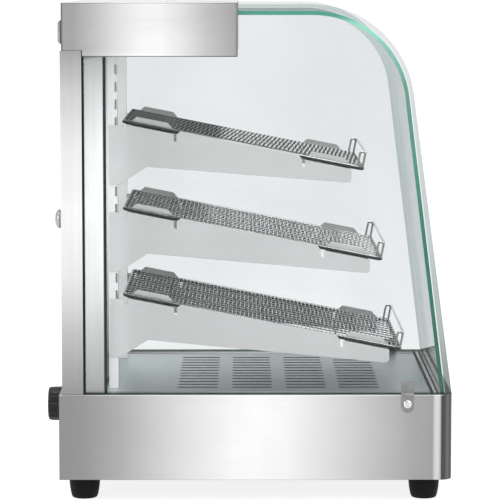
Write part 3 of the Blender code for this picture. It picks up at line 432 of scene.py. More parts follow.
def past_front_sheet(recipe):
    """Distance in the pane's own plane (depth, height) beyond the outer line of the curved sheet."""
    lean = math.radians(FRONT_LINE["slant"])
    radius = FRONT_LINE["radius"]
    centre_depth, centre_height = curve_centre(**FRONT_LINE)
    place_on_pane = recipe.parts(recipe.coordinates)
    forward = recipe.math("SUBTRACT", place_on_pane["X"], centre_depth)
    up = recipe.math("SUBTRACT", place_on_pane["Y"], centre_height)

    def plus(a, b):
        return recipe.math("ADD", a, b)

    def times(a, b):
        return recipe.math("MULTIPLY", a, b)

    def choose(test, yes, no):
        return plus(times(test, yes), times(recipe.math("SUBTRACT", 1.0, test), no))

    reach = recipe.math("SQRT", plus(times(forward, forward), times(up, up)), 0.0)
    round_top = choose(recipe.math("GREATER_THAN", forward, 0.0), reach, up)
    slanted_front = plus(times(forward, math.cos(lean)), times(up, math.sin(lean)))
    above_bend = recipe.math("SUBTRACT", times(up, math.cos(lean)), times(forward, math.sin(lean)))
    line = choose(recipe.math("GREATER_THAN", above_bend, 0.0), round_top, slanted_front)
    return recipe.math("SUBTRACT", line, radius)


def glass_edge(name, stops):
    """Polished edge of a clear sheet: a colour by height, with lighter and darker runs along it. A stop
    is (height, colour)."""
    recipe = Recipe(name, stops[0][1], 0.08)
    runs = recipe.noise((14.0, 16.0, 16.0), 3.0, 0.55, 0.6)
    recipe.drive("Base Color", recipe.times(tint_by_height(recipe, stops), recipe.spread(runs, 0.90, 1.12)))
    recipe.bump(recipe.noise((900, 120, 120), 2.0), 0.05, 0.0001)
    return recipe.material


# ---- piece helpers ------------------------------------------------------------------------------
def place(obj, body, slot, *stands_for):
    """Link a piece, give it its body, and hide the CAD nodes that it stands for; slot is not used."""
    if obj.name not in bpy.context.scene.collection.objects:
        bpy.context.scene.collection.objects.link(obj)
    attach(obj, body)
    if stands_for:
        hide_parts(*stands_for)


def mesh_piece(name, bm, *materials):
    mesh = bpy.data.meshes.new(name)
    bm.to_mesh(mesh)
    bm.free()
    for material in materials:
        mesh.materials.append(material)
    return bpy.data.objects.new(name, mesh)


def smooth(obj, angle=35):
    obj.data.shade_smooth()
    obj.data.set_sharp_from_angle(angle=math.radians(angle))


def bevel(obj, width, angle=35):
    modifier = obj.modifiers.new("rounded_edges", "BEVEL")
    modifier.width = width
    modifier.segments = 2
    modifier.limit_method = "ANGLE"
    modifier.angle_limit = math.radians(angle)
    modifier.harden_normals = True


def formed(node, material, width, body="case", slot="brushed_steel"):
    """A CAD sheet part again, with the small rounded edges that a folded and deburred part has."""
    bm = bmesh.new()
    bm.from_mesh(NODES[node].data)
    bmesh.ops.remove_doubles(bm, verts=bm.verts, dist=1e-5)
    bmesh.ops.dissolve_limit(
        bm, angle_limit=math.radians(0.6), verts=bm.verts, edges=bm.edges, delimit={"NORMAL"}
    )
    piece = mesh_piece(f"{node}_formed", bm, material)
    smooth(piece)
    bevel(piece, width)
    place(piece, body, slot, node)


def block(name, size, matrix, material, edge):
    """A plain block round its own middle, with rounded edges."""
    bm = bmesh.new()
    bmesh.ops.create_cube(bm, size=1.0, matrix=Matrix.Diagonal((*size, 1.0)))
    piece = mesh_piece(name, bm, material)
    piece.matrix_world = matrix
    bevel(piece, edge)
    return piece


def arc(centre, radius, start, end, segments):
    points = []
    for i in range(segments + 1):
        angle = math.radians(start + (end - start) * i / segments)
        points.append((centre[0] + radius * math.cos(angle), centre[1] + radius * math.sin(angle)))
    return points


def rounded_rectangle(left, right, low, high, corner, segments):
    """Points round a rectangle with round corners, from its upper right corner on."""
    loop = []
    for x, y, start in (
        (right - corner, high - corner, 0),
        (left + corner, high - corner, 90),
        (left + corner, low + corner, 180),
        (right - corner, low + corner, 270),
    ):
        loop += arc((x, y), corner, start, start + 90, segments)
    return loop


def plate(name, outlines, thickness, matrix, *materials, edge=0.0):
    """A flat plate from an outline and its holes, as a mesh with its cut edges rounded."""
    curve = bpy.data.curves.new(name, "CURVE")
    curve.dimensions = "2D"
    curve.fill_mode = "BOTH"
    curve.extrude = thickness / 2
    for outline in outlines:
        spline = curve.splines.new("POLY")
        spline.points.add(len(outline) - 1)
        for point, (a, b) in zip(spline.points, outline):
            point.co = (a, b, 0.0, 1.0)
        spline.use_cyclic_u = True
    source = bpy.data.objects.new(name, curve)
    bpy.context.scene.collection.objects.link(source)
    graph = bpy.context.evaluated_depsgraph_get()
    bm = bmesh.new()
    bm.from_mesh(bpy.data.meshes.new_from_object(source.evaluated_get(graph)))
    bpy.data.objects.remove(source)
    bmesh.ops.remove_doubles(bm, verts=bm.verts, dist=1e-6)
    bmesh.ops.dissolve_limit(
        bm, angle_limit=math.radians(0.3), verts=bm.verts, edges=bm.edges, delimit={"NORMAL"}
    )
    bmesh.ops.recalc_face_normals(bm, faces=bm.faces)
    if len(materials) > 1:
        for face in bm.faces:
            face.material_index = 0 if abs(face.normal.z) > 0.5 else 1
    piece = mesh_piece(name, bm, *materials)
    piece.matrix_world = matrix
    smooth(piece)
    if edge:
        bevel(piece, edge, 50)
    return piece


def side_matrix(x):
    """Takes (depth, height, thickness) to the row frame at one X."""
    return Matrix(((0, 0, -1, x), (-1, 0, 0, REAR_FACE_Y), (0, 1, 0, 0), (0, 0, 0, 1)))


def outward_matrix(where):
    """Turns local Z towards the operator, for what stands out from the rear."""
    return Matrix.Translation(where) @ Matrix.Rotation(-math.pi / 2, 4, "X")


def wires(name, paths, radius, material, matrix, sides):
    """Round wires, each along its own points; one piece. A path is (points, closed)."""
    curve = bpy.data.curves.new(name, "CURVE")
    curve.dimensions = "3D"
    curve.bevel_depth = radius
    curve.bevel_resolution = sides
    curve.use_fill_caps = True
    for points, closed in paths:
        spline = curve.splines.new("POLY")
        spline.points.add(len(points) - 1)
        for point, where in zip(spline.points, points):
            point.co = (*where, 1.0)
        spline.use_cyclic_u = closed
        spline.use_smooth = True
    curve.materials.append(material)
    piece = bpy.data.objects.new(name, curve)
    piece.matrix_world = matrix
    return piece


def turned(name, profile, matrix, material, steps):
    """A turned piece: a profile of (radius, height) spun round local Z."""
    bm = bmesh.new()
    rings = []
    for radius, height in profile:
        if radius < 1e-6:
            rings.append([bm.verts.new((0.0, 0.0, height))])
            continue
        ring = []
        for i in range(steps):
            angle = 2 * math.pi * i / steps
            ring.append(bm.verts.new((radius * math.cos(angle), radius * math.sin(angle), height)))
        rings.append(ring)
    for a, b in zip(rings, rings[1:]):
        for i in range(steps):
            j = (i + 1) % steps
            corners = list(dict.fromkeys((a[i % len(a)], a[j % len(a)], b[j % len(b)], b[i % len(b)])))
            if len(corners) > 2:
                bm.faces.new(corners)
    bmesh.ops.recalc_face_normals(bm, faces=bm.faces)
    piece = mesh_piece(name, bm, material)
    piece.matrix_world = matrix
    smooth(piece)
    return piece


# ---- finishes -----------------------------------------------------------------------------------
RACK_HEIGHTS = (0.15, 0.50)
# the flange of the corner post, which reaches forward behind the pane
FLANGE_FRONT, FLANGE_REAR = y_at(0.0560), y_at(0.0300)


def steel_finishes():
    # painted highlight along the base's depth: a bright line just behind the front corner, a light band in
    # the middle, painted shade towards the rear
    base_painted_highlight = (
        (0.0, 0.32), (0.030, 0.32), (0.034, 0.60), (0.045, 0.58), (0.050, 0.32), (0.10, 0.345), (0.25, 0.55),
        (0.42, 0.80), (0.50, 0.845), (0.56, 0.83), (0.70, 0.63), (0.84, 0.40), (0.94, 0.28), (1.0, 0.26),
    )
    # painted reflection bands round the base's rounded front corner
    corner_fold_reflection = (
        (0.0, 1.0), (0.08, 1.0), (0.16, 0.22), (0.40, 0.26), (0.55, 0.46), (0.68, 0.46), (0.80, 0.22),
        (0.985, 0.22), (1.0, 1.7),
    )
    # painted highlight on edges turned up, painted shade on those turned down
    base_edge_light = (
        (0.0, 0.5), (0.05, 0.35), (0.38, 0.6), (0.46, 1.0), (0.54, 1.0), (0.62, 2.2), (0.94, 2.2), (1.0, 1.0),
    )
    # inner=0.10 paints deep shade on the faces that look into the case
    base = steel(
        "base_steel", 0.93, 0.34, "z", [("Y", BASE_LOW.y, BASE_HIGH.y, base_painted_highlight)], streak=0.02, painted_edge_light=base_edge_light,
        corner=corner_fold_reflection, inner=0.10
    )
    # painted highlight on the header's side: light in its middle, painted shade towards both ends
    header_painted_highlight = (
        (0.0, 0.22), (0.008, 0.22), (0.014, 0.35), (0.18, 0.51), (0.32, 0.72), (0.44, 0.84), (0.54, 0.84),
        (0.66, 0.71), (0.80, 0.51), (0.93, 0.345), (0.988, 0.34), (0.993, 0.15), (1.0, 0.15),
    )
    # painted shade on the down-facing edges and along the top fold, painted highlight on the faces turned up
    header_edge_light = (
        (0.0, 0.30), (0.05, 0.30), (0.40, 0.30), (0.46, 1.0), (0.54, 1.0), (0.62, 0.40), (0.90, 0.45),
        (0.97, 1.2), (1.0, 2.6),
    )
    # top=0.66 is painted light: the header's top faces take one flat tone
    header = steel(
        "header_steel", 0.97, 0.34, "z", [("Y", HEADER_LOW.y, HEADER_HIGH.y, header_painted_highlight)], streak=0.02,
        painted_edge_light=header_edge_light, top=0.66
    )
    # painted light: the glows are emission that stands for the soft light that comes back from the panes: on
    # the flange of the post, and on the two side faces of each upright only, so that what lies between them
    # stays dark in the slots
    # painted highlight on the post: light in the middle of its height, painted shade towards both ends
    post_painted_highlight = (
        (0.0, 0.28), (0.18, 0.50), (0.35, 0.78), (0.55, 0.92), (0.72, 0.84), (0.88, 0.62), (1.0, 0.38),
    )
    # painted light: the post's flange behind the pane is made lighter
    flange_painted_light = (1.21, 1.20, 1.20)
    flange_painted_band = ((0.0, 1.0), (0.08, flange_painted_light), (0.90, flange_painted_light), (0.97, 1.0), (1.0, 1.0))
    post_painted_bands = [("Z", 0.13, 0.55, post_painted_highlight), ("Y", FLANGE_FRONT, FLANGE_REAR, flange_painted_band)]
    flange_light = ("Y", FLANGE_FRONT, FLANGE_REAR, ((0.0, 0.32), (0.97, 0.0)))
    post = steel("post_steel", 0.90, 0.34, "y", post_painted_bands, streak=0.03, glow=flange_light)
    upright_side_glow = ((0.0, 0.22), (0.0082, 0.0), (0.0775, 0.22), (0.9225, 0.0), (0.9918, 0.22))
    upright = steel(
        "upright_steel", 0.93, 0.40, "y", streak=0.02, metal=0.15, green=-0.01,
        glow=("X", -0.14, 0.14, upright_side_glow)
    )
    # painted light: the brackets are lighter towards their rear flange, and a little darker where the ears
    # stand
    bracket_painted_light = [
        ("Y", y_at(0.110), y_at(0.058), ((0.0, 1.0), (0.45, 1.08), (1.0, 1.45))),
        ("X", -0.1375, -0.1330, ((0.0, 1.0), (1.0, 0.95))),
    ]
    # painted shade on the down-facing edges, a faint painted highlight on those turned up
    bracket_edge_shading = ((0.0, 0.3), (0.05, 0.20), (0.40, 0.20), (0.47, 1.0), (0.54, 1.0), (0.65, 1.15), (1.0, 1.1))
    # inner=0.80 paints shade on the faces that look into the case
    bracket = steel(
        "bracket_steel", 0.69, 0.40, "z", bracket_painted_light, warm=0.005, green=-0.01, streak=0.02, painted_edge_light=bracket_edge_shading,
        inner=0.80, metal=0.8
    )
    # painted light and shade on the floor: darker towards the front, lighter towards the rear
    floor_painted_shading = [("Y", y_at(0.43), y_at(0.05), ((0.0, 0.60), (0.45, 0.66), (0.85, 1.0), (1.0, 1.0)))]
    # painted shade on the walls of the slots
    slot_wall_shade = ((0.0, 0.2), (0.40, 0.04), (0.62, 0.04), (0.80, 1.0), (1.0, 1.0))
    floor = steel(
        "floor_steel", 0.70, 0.30, "x", floor_painted_shading, warm=-0.02, streak=0.03, green=0.12, painted_edge_light=slot_wall_shade
    )
    return {
        "base": base,
        "header": header,
        "post": post,
        "upright": upright,
        "bracket": bracket,
        "floor": floor,
        "inner": steel("inner_steel", 0.48, 0.42, "x"),
        # the bottom plate is made near black: painted shade seen through the floor's slots
        "under_shade": steel("bottom_steel", 0.12, 0.50, "x"),
        "heater": steel("heater_sheath", 0.26, 0.50, "y", warm=0.06, streak=0.15),
    }


def plated_finishes():
    # painted light: the middle rack is made much lighter than the other two, by height
    middle_rack_painted_light = ((0.0, 1.0), (0.28, 1.0), (0.34, 2.2), (0.58, 2.2), (0.66, 0.80), (1.0, 0.80))
    return {
        "rack": wire_plating("rack_plating", 0.62, 0.10, 0.06, middle_rack_painted_light, 0.45),
        "rack_top": wire_plating("top_rack_plating", 0.56, 0.10, 0.06, painted_hatch=0.75),
        "rod": wire_plating("rod_plating", 0.62, 0.05, 0.03),
        "fence": wire_plating("fence_plating", 0.90, 0.30, 0.16),
        "chrome": plated("fitting_plating", 0.66, 0.12),
        "bezel": plated("bezel_plating", 0.40, 0.20),
        "pull": plated("pull_plating", 0.42, 0.12),
        "clip": plated("clip_plating", 0.24, 0.26),
    }


def moulded_finishes():
    return {
        "rubber": moulded("foot_rubber", (0.005, 0.005, 0.005), 0.60, 600.0, 0.35, Specular_IOR_Level=0.12),
        "seal": moulded("seal_rubber", (0.008, 0.008, 0.008), 0.55, 500.0, 0.3, Specular_IOR_Level=0.2),
        "plastic": moulded("black_moulding", (0.008, 0.008, 0.008), 0.36, Specular_IOR_Level=0.28),
        "white_plastic": moulded("white_moulding", (0.74, 0.74, 0.70), 0.42, 700.0, 0.15),
        "display": moulded("display_window", (0.010, 0.016, 0.014), 0.08, 300.0, 0.02, Coat_Weight=0.6),
        "lens": moulded("pilot_lens", (0.55, 0.020, 0.012), 0.16, 250.0, 0.10, Coat_Weight=0.5),
        "opal": moulded("opal_tube", (0.86, 0.85, 0.80), 0.22, 60.0, 0.03),
        "mark": moulded("pointer_paint", (0.80, 0.80, 0.78), 0.40, 700.0, 0.08),
    }


def glass_finishes():
    # painted shade of the strip of side pane past the curved sheet, darker towards the foot
    overhang_shade = (
        (0.13, (0.47, 0.51, 0.50)), (0.24, (0.62, 0.66, 0.66)), (0.34, (0.70, 0.74, 0.74)),
        (0.46, (0.76, 0.79, 0.79)), (0.56, (0.83, 0.84, 0.85)), (0.61, (0.84, 0.86, 0.86)),
    )
    # green of the curved sheet's edge, with a painted highlight where the curve bends over (0.545 to 0.58),
    # darker towards the foot
    green = (
        (0.13, (0.006, 0.135, 0.085)), (0.30, (0.008, 0.185, 0.115)), (0.44, (0.075, 0.310, 0.235)),
        (0.50, (0.13, 0.36, 0.28)), (0.545, (0.26, 0.58, 0.48)), (0.580, (0.36, 0.86, 0.66)),
        (0.594, (0.07, 0.36, 0.26)), (0.600, (0.05, 0.30, 0.21)),
    )
    pale = ((0.13, (0.30, 0.38, 0.35)), (0.50, (0.50, 0.60, 0.57)), (0.60, (0.78, 0.84, 0.82)))
    return {
        "pane": clear_glass("pane_glass", (0.915, 0.923, 0.926), overhang_shade=overhang_shade, foot=0.0018),
        "front": clear_glass("curved_glass", (0.955, 0.966, 0.964), gloss=0.80),
        "door": clear_glass("door_sheet_glass", (0.885, 0.925, 0.912)),
        "front_edge": glass_edge("curved_glass_edge", green),
        "pane_edge": glass_edge("pane_edge", pale),
    }


def paint(node, material):
    """A carried-over CAD node's own shape with a better material."""
    mesh = NODES[node].data
    mesh.materials.clear()
    mesh.materials.append(material)


# ---- glass --------------------------------------------------------------------------------------
PANE_CORNER = 0.004
DOOR_CORNER = 0.003
CUT_EDGE = 0.0005


def curve_centre(top, foot, slant, radius):
    """The middle (depth, height) of the round stretch of a glass edge line."""
    lean = math.radians(slant)
    height = top - radius
    return foot - (radius + (height - BASE_TOP) * math.sin(lean)) / math.cos(lean), height


def glass_line(top, foot, slant, radius, inset=0.0):
    """A glass edge line (depth, height): from the top, over the curve, down the slant to the base."""
    line = arc(curve_centre(top, foot, slant, radius), radius - inset, 90, slant, 40)
    last_depth, last_height = line[-1]
    end = BASE_TOP + GAP
    return [*line, (last_depth + (last_height - end) * math.tan(math.radians(slant)), end)]


def make_side_panes(finish):
    rear = REAR_FACE_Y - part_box("side_glass_left")[1].y
    outline = [(rear, BASE_TOP + GAP), *reversed(glass_line(**PANE_LINE))]
    outline += arc((rear + PANE_CORNER, PANE_LINE["top"] - PANE_CORNER), PANE_CORNER, 90, 180, 5)
    for hand, side in (("left", -1), ("right", 1)):
        matrix = side_matrix(side * (PANE_OUTER - GLASS / 2))
        pane = plate(
            f"side_pane_{hand}", [outline], GLASS, matrix, finish["pane"], finish["pane_edge"], edge=CUT_EDGE
        )
        place(pane, "case", "clear_glass", f"side_glass_{hand}")


def make_curved_glass(finish):
    low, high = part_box("front_glass")
    tail = REAR_FACE_Y - high.y
    top = FRONT_LINE["top"]
    sheet = [(tail, top), *glass_line(**FRONT_LINE)]
    sheet += [*reversed(glass_line(**FRONT_LINE, inset=GLASS)), (tail, top - GLASS)]
    width = high.x - low.x
    matrix = side_matrix(0.0)
    front = plate("curved_front_glass", [sheet], width, matrix, finish["front_edge"], finish["front"])
    bevel(front, CUT_EDGE, 60)
    place(front, "case", "clear_glass", "front_glass")


def make_door_glass(finish):
    low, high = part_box("door_glass")
    loop = rounded_rectangle(low.x, high.x, low.z, high.z, DOOR_CORNER, 4)
    matrix = Matrix(((1, 0, 0, 0), (0, 0, -1, (low.y + high.y) / 2), (0, 1, 0, 0), (0, 0, 0, 1)))
    thickness = high.y - low.y
    door = plate("door_pane", [loop], thickness, matrix, finish["door"], finish["pane_edge"], edge=0.0004)
    place(door, "door", "clear_glass", "door_glass")


# ---- racks --------------------------------------------------------------------------------------
# per shelf: the depth at which the bracket arms end, and the height of their flange tops at SEAT_DEPTH
ARM_ENDS = {"bottom": 0.4051, "middle": 0.3809, "top": 0.3577}
FLANGE_TOPS = {"bottom": 0.244, "middle": 0.351, "top": 0.458}
SEAT_DEPTH = 0.082
SEAT_RISE = 0.0008  # from the flange top to where a rack rests
RACK_SLOPE = 0.198
RACK_HALF = 0.1343
RACK_REAR = 0.0785
RACK_OVERHANG = 0.0135  # how far a rack reaches past the arms
RACK_CORNER = 0.006
ROD = 0.0025
WIRE = 0.0008
WIRE_GAPS = 12
WIRE_OVERLAP = 0.001
CROSS_WIRE = 0.0013
CROSS_WIRE_HEIGHT = -0.0011
FINE_WIRE_HEIGHT = 0.0020
FINE_PITCH = 0.0052
HATCH_SLANT = 0.065
FENCE_WIRE = 0.0014
FENCE_HEIGHT = 0.021
FENCE_INSET = 0.0012
FENCE_BEND = 0.005
HAIRPIN_BEND = 0.00325
HAIRPIN_DROP = 0.004  # from the fence's top to the middle of the hairpin's bend


def rack_matrix(level):
    """Takes (across, along the slope, up from it) to the row frame for one rack."""
    tilt = math.atan(RACK_SLOPE)
    seat = FLANGE_TOPS[level] + SEAT_RISE - RACK_SLOPE * (RACK_REAR - SEAT_DEPTH)
    across = Vector((-1, 0, 0))
    along = Vector((0, -math.cos(tilt), -math.sin(tilt)))
    turn = Matrix((across, along, across.cross(along))).transposed().to_4x4()
    return Matrix.Translation((0, y_at(RACK_REAR), seat + (ROD + GAP) / math.cos(tilt))) @ turn


def cross_lines(places, height):
    return [([(-RACK_HALF, b, height), (RACK_HALF, b, height)], False) for b in places]


def fence_lines(length):
    """The bent top rail of the front fence, and a hairpin behind each of its ends."""
    inset = RACK_HALF - FENCE_INSET
    bend = (inset - FENCE_BEND, FENCE_HEIGHT - FENCE_BEND)
    rail = [(-inset, length, 0.0)]
    rail += [(-a, length, c) for a, c in arc(bend, FENCE_BEND, 0, 90, 6)]
    rail += [(a, length, c) for a, c in arc(bend, FENCE_BEND, 90, 0, 6)]
    rail.append((inset, length, 0.0))
    lines = [(rail, False)]
    for x in (-inset, inset):
        hairpin = [(x, length - 2 * HAIRPIN_BEND, 0.0)]
        top = arc((length - HAIRPIN_BEND, FENCE_HEIGHT - HAIRPIN_DROP), HAIRPIN_BEND, 180, 0, 8)
        hairpin += [(x, b, c) for b, c in top]
        hairpin.append((x, length, 0.0))
        lines.append((hairpin, False))
    return lines


def make_rack(level, finish):
    """A wire rack: round frame, lengthwise wires on cross wires, and a bent front fence."""
    matrix = rack_matrix(level)
    length = (ARM_ENDS[level] + RACK_OVERHANG - RACK_REAR) / math.cos(math.atan(RACK_SLOPE))
    plating = finish["rack_top" if level == "top" else "rack"]

    def add(part, lines, radius, material, sides, *stands_for):
        piece = wires(f"rack_{level}_{part}", lines, radius, material, matrix, sides)
        place(piece, f"{level}_rack", "chrome", *stands_for)

    outline = rounded_rectangle(-RACK_HALF, RACK_HALF, 0.0, length, RACK_CORNER, 6)
    add("frame", [([(a, b, 0.0) for a, b in outline], True)], ROD, finish["rod"], 4, f"rack_{level}")
    lengthwise = []
    for i in range(1, WIRE_GAPS):
        x = RACK_HALF * (2 * i / WIRE_GAPS - 1)
        lengthwise.append(([(x, -WIRE_OVERLAP, ROD), (x, length + WIRE_OVERLAP, ROD)], False))
    add("wires", lengthwise, WIRE, plating, 3)
    cross_places = (0.055, 0.075, length * 0.5, length - 0.080, length - 0.060)
    add("cross_wires", cross_lines(cross_places, CROSS_WIRE_HEIGHT), CROSS_WIRE, plating, 3)
    count = round(length / FINE_PITCH)
    fine_places = [length * i / count for i in range(1, count)]
    add("fine_wires", cross_lines(fine_places, FINE_WIRE_HEIGHT), WIRE, plating, 2)
    add("fence", fence_lines(length), FENCE_WIRE, finish["fence"], 3)


# ---- floor --------------------------------------------------------------------------------------
SLOT_STARTS = (0.143, 0.210, 0.277, 0.343)
SLOT_LENGTH = 0.051
SLOT_WIDTH = 0.0070
SLOT_PITCH = 0.023
SLOT_ROWS = 12


def make_floor_panel(finish):
    """The heated floor with its round-ended slots."""
    (left, front_edge), (right, rear_edge) = FLOOR_LOW.xy, FLOOR_HIGH.xy
    outlines = [[(left, front_edge), (right, front_edge), (right, rear_edge), (left, rear_edge)]]
    radius = SLOT_WIDTH / 2
    for depth in SLOT_STARTS:
        rear, front = y_at(depth) - radius, y_at(depth + SLOT_LENGTH) + radius
        for row in range(SLOT_ROWS):
            x = (row - (SLOT_ROWS - 1) / 2) * SLOT_PITCH
            outlines.append([*arc((x, rear), radius, 0, 180, 5), *arc((x, front), radius, 180, 360, 5)])
    matrix = Matrix.Translation((0, 0, (FLOOR_LOW.z + FLOOR_HIGH.z) / 2))
    panel = plate("slotted_floor", outlines, FLOOR_HIGH.z - FLOOR_LOW.z, matrix, finish["floor"], edge=0.0003)
    place(panel, "case", "satin_steel", "floor_panel")


# ---- feet, knob, pull, clips --------------------------------------------------------------------
def middle_of(low, high):
    return (low + high) / 2


def make_feet(finish):
    """Tapered rubber feet with a hollow underside."""
    for end in ("front", "rear"):
        for hand in ("left", "right"):
            node = f"foot_{end}_{hand}"
            low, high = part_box(node)
            top = high.z - 0.0004
            profile = [
                (0.0, top), (0.0184, top), (0.0189, top - 0.0006), (0.0190, top - 0.0020),
                (0.0188, top - 0.0070), (0.0182, 0.0130), (0.0171, 0.0065), (0.0161, 0.0025),
                (0.0150, 0.0006), (0.0138, 0.0), (0.0075, 0.0), (0.0072, 0.0015), (0.0, 0.0015),
            ]
            matrix = Matrix.Translation((*middle_of(low, high).xy, 0.0))
            foot = turned(f"rubber_{node}", profile, matrix, finish["rubber"], 64)
            place(foot, "case", "black_rubber", node)


KNOB_FLUTES = 14
KNOB_STEPS = 168
FLUTE_DEPTH = 0.0013
KNOB_BACK = 0.0195  # from the front of the CAD knob back to the foot of this one
# (height, part of the outer radius, part of the flute depth), from the skirt to the cap
KNOB_LEVELS = (
    (0.0, 1.0, 0.0), (0.0022, 1.0, 0.0), (0.0030, 0.975, 0.0), (0.0034, 0.955, 0.5), (0.0045, 0.955, 1.0),
    (0.0150, 0.940, 1.0), (0.0178, 0.920, 0.6), (0.0190, 0.880, 0.2), (0.0195, 0.800, 0.0),
)
POINTER_SIZE = (0.0016, 0.0105, 0.0008)
POINTER_PLACE = (0.0, 0.0080, 0.0190)


def fluted_rings(bm, outer):
    rings = []
    for height, scale, depth in KNOB_LEVELS:
        ring = []
        for i in range(KNOB_STEPS):
            angle = 2 * math.pi * i / KNOB_STEPS
            radius = outer * scale - max(0.0, -math.cos(KNOB_FLUTES * angle)) * FLUTE_DEPTH * depth
            ring.append(bm.verts.new((radius * math.cos(angle), radius * math.sin(angle), height)))
        rings.append(ring)
    return rings


def make_knob(finish):
    """Fluted thermostat knob on its skirt, with a slightly dished cap and a painted pointer."""
    low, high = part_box("thermostat_knob")
    bm = bmesh.new()
    rings = fluted_rings(bm, (high.x - low.x) / 2)
    bm.faces.new(list(reversed(rings[0])))
    rings.append([bm.verts.new((v.co.x * 0.92, v.co.y * 0.92, v.co.z - 0.0006)) for v in rings[-1]])
    for a, b in zip(rings, rings[1:]):
        for i in range(KNOB_STEPS):
            j = (i + 1) % KNOB_STEPS
            bm.faces.new((a[i], a[j], b[j], b[i]))
    bm.faces.new(rings[-1])
    bmesh.ops.recalc_face_normals(bm, faces=bm.faces)
    knob = mesh_piece("fluted_knob", bm, finish["plastic"])
    middle = middle_of(low, high)
    matrix = outward_matrix((middle.x, high.y - KNOB_BACK, middle.z))
    knob.matrix_world = matrix
    smooth(knob, 30)
    place(knob, "thermostat_dial", "black_plastic", "thermostat_knob")
    matrix = matrix @ Matrix.Translation(POINTER_PLACE)
    pointer = block("knob_pointer", POINTER_SIZE, matrix, finish["mark"], 0.0003)
    place(pointer, "thermostat_dial", "black_plastic")


def make_pull(finish):
    """Round door pull with a domed face."""
    low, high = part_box("door_pull")
    tall = high.y - low.y
    dome = 0.0052
    profile = [(0.0, tall)]
    profile += [(0.0118 * math.sin(a), tall - dome + dome * math.cos(a)) for a in (0.3, 0.6, 0.9, 1.2, 1.45)]
    profile += [(0.0120, tall - 0.0060), (0.0116, 0.0018), (0.0100, 0.0009), (0.0098, 0.0), (0.0, 0.0)]
    middle = middle_of(low, high)
    matrix = outward_matrix((middle.x, low.y, middle.z))
    place(turned("domed_pull", profile, matrix, finish["pull"], 64), "door", "chrome", "door_pull")


SHANK_LENGTH = 0.0060


def screw(name, where, direction, radius, tall, finish, node):
    """Pan-head screw with a cross recess."""
    shank = radius * 0.4
    dome = [(radius * math.sin(a), tall * (0.25 + 0.75 * math.cos(a))) for a in (0.35, 0.7, 1.05, 1.35)]
    profile = [(0.0, tall), *dome, (radius, tall * 0.20), (radius, 0.0)]
    profile += [(shank, 0.0), (shank, -SHANK_LENGTH), (0.0, -SHANK_LENGTH)]
    turn = Vector((0, 0, 1)).rotation_difference(Vector(direction)).to_matrix().to_4x4()
    head = turned(name, profile, Matrix.Translation(where) @ turn, finish["chrome"], 40)
    for i, angle in enumerate((0, 90)):
        bm = bmesh.new()
        size = Matrix.Diagonal((radius * 1.15, radius * 0.26, tall * 0.9, 1.0))
        spin = Matrix.Rotation(math.radians(angle), 4, "Z")
        bmesh.ops.create_cube(bm, size=1.0, matrix=spin @ Matrix.Translation((0, 0, tall * 0.95)) @ size)
        cutter = mesh_piece(f"{name}_recess_{i}", bm)
        cutter.matrix_world = head.matrix_world.copy()
        bpy.context.scene.collection.objects.link(cutter)
        modifier = head.modifiers.new(f"recess_{i}", "BOOLEAN")
        modifier.object = cutter
        modifier.operation = "DIFFERENCE"
        modifier.solver = "EXACT"
    bpy.context.scene.collection.objects.link(head)
    graph = bpy.context.evaluated_depsgraph_get()
    mesh = bpy.data.meshes.new_from_object(head.evaluated_get(graph))
    for modifier in list(head.modifiers):
        bpy.data.objects.remove(modifier.object)
    head.modifiers.clear()
    head.data = mesh
    place(head, "case", "chrome", node)


CLIP_BEND = 0.0008
CLIP_SCREW_RADIUS = 0.0050
CLIP_SCREW_HEIGHT = 0.0020
HEADER_SCREW_RADIUS = 0.0040


def clip_line(top, foot):
    """Mid-line of a clip's strip in (distance out, height), from the top of its tongue to its foot."""
    pane = PANE_OUTER + GAP + SHEET / 2
    base = HALF_WIDTH + GAP + SHEET / 2
    step = BASE_TOP + GAP + SHEET / 2
    line = [(pane, top), (pane, step + CLIP_BEND)]
    for a in (0.5, 1.0):
        line.append((pane + CLIP_BEND * (1 - math.cos(a)), step + CLIP_BEND * (1 - math.sin(a))))
    for a in (0.6, 1.2):
        line.append((base - CLIP_BEND * (1 - math.sin(a)), step - CLIP_BEND * (1 - math.cos(a))))
    return [*line, (base, step - CLIP_BEND - 0.0004), (base, foot)]


def make_clip(hand, side, finish):
    """A Z-bent clip: one strip with two bends and a round lower end."""
    low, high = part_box(f"glass_clip_{hand}")
    half = (high.y - low.y) / 2
    line = clip_line(high.z, low.z + half)
    bm = bmesh.new()
    rows = [[bm.verts.new((out, w, z)) for w in (-half, half)] for out, z in line]
    for a, b in zip(rows, rows[1:]):
        bm.faces.new((a[0], a[1], b[1], b[0]))
    base, foot = line[-1]
    round_end = [bm.verts.new((base, w, z)) for w, z in arc((0.0, foot), half, 180, 360, 20)[1:-1]]
    bm.faces.new([rows[-1][0], *round_end, rows[-1][1]])
    bmesh.ops.recalc_face_normals(bm, faces=bm.faces)
    clip = mesh_piece(f"bent_clip_{hand}", bm, finish["clip"])
    clip.matrix_world = Matrix.Translation((0, middle_of(low, high).y, 0)) @ Matrix.Diagonal((side, 1, 1, 1))
    solid = clip.modifiers.new("sheet", "SOLIDIFY")
    solid.thickness = SHEET
    solid.offset = 0.0
    smooth(clip, 50)
    bevel(clip, 0.0002, 60)
    place(clip, "case", "chrome", f"glass_clip_{hand}")


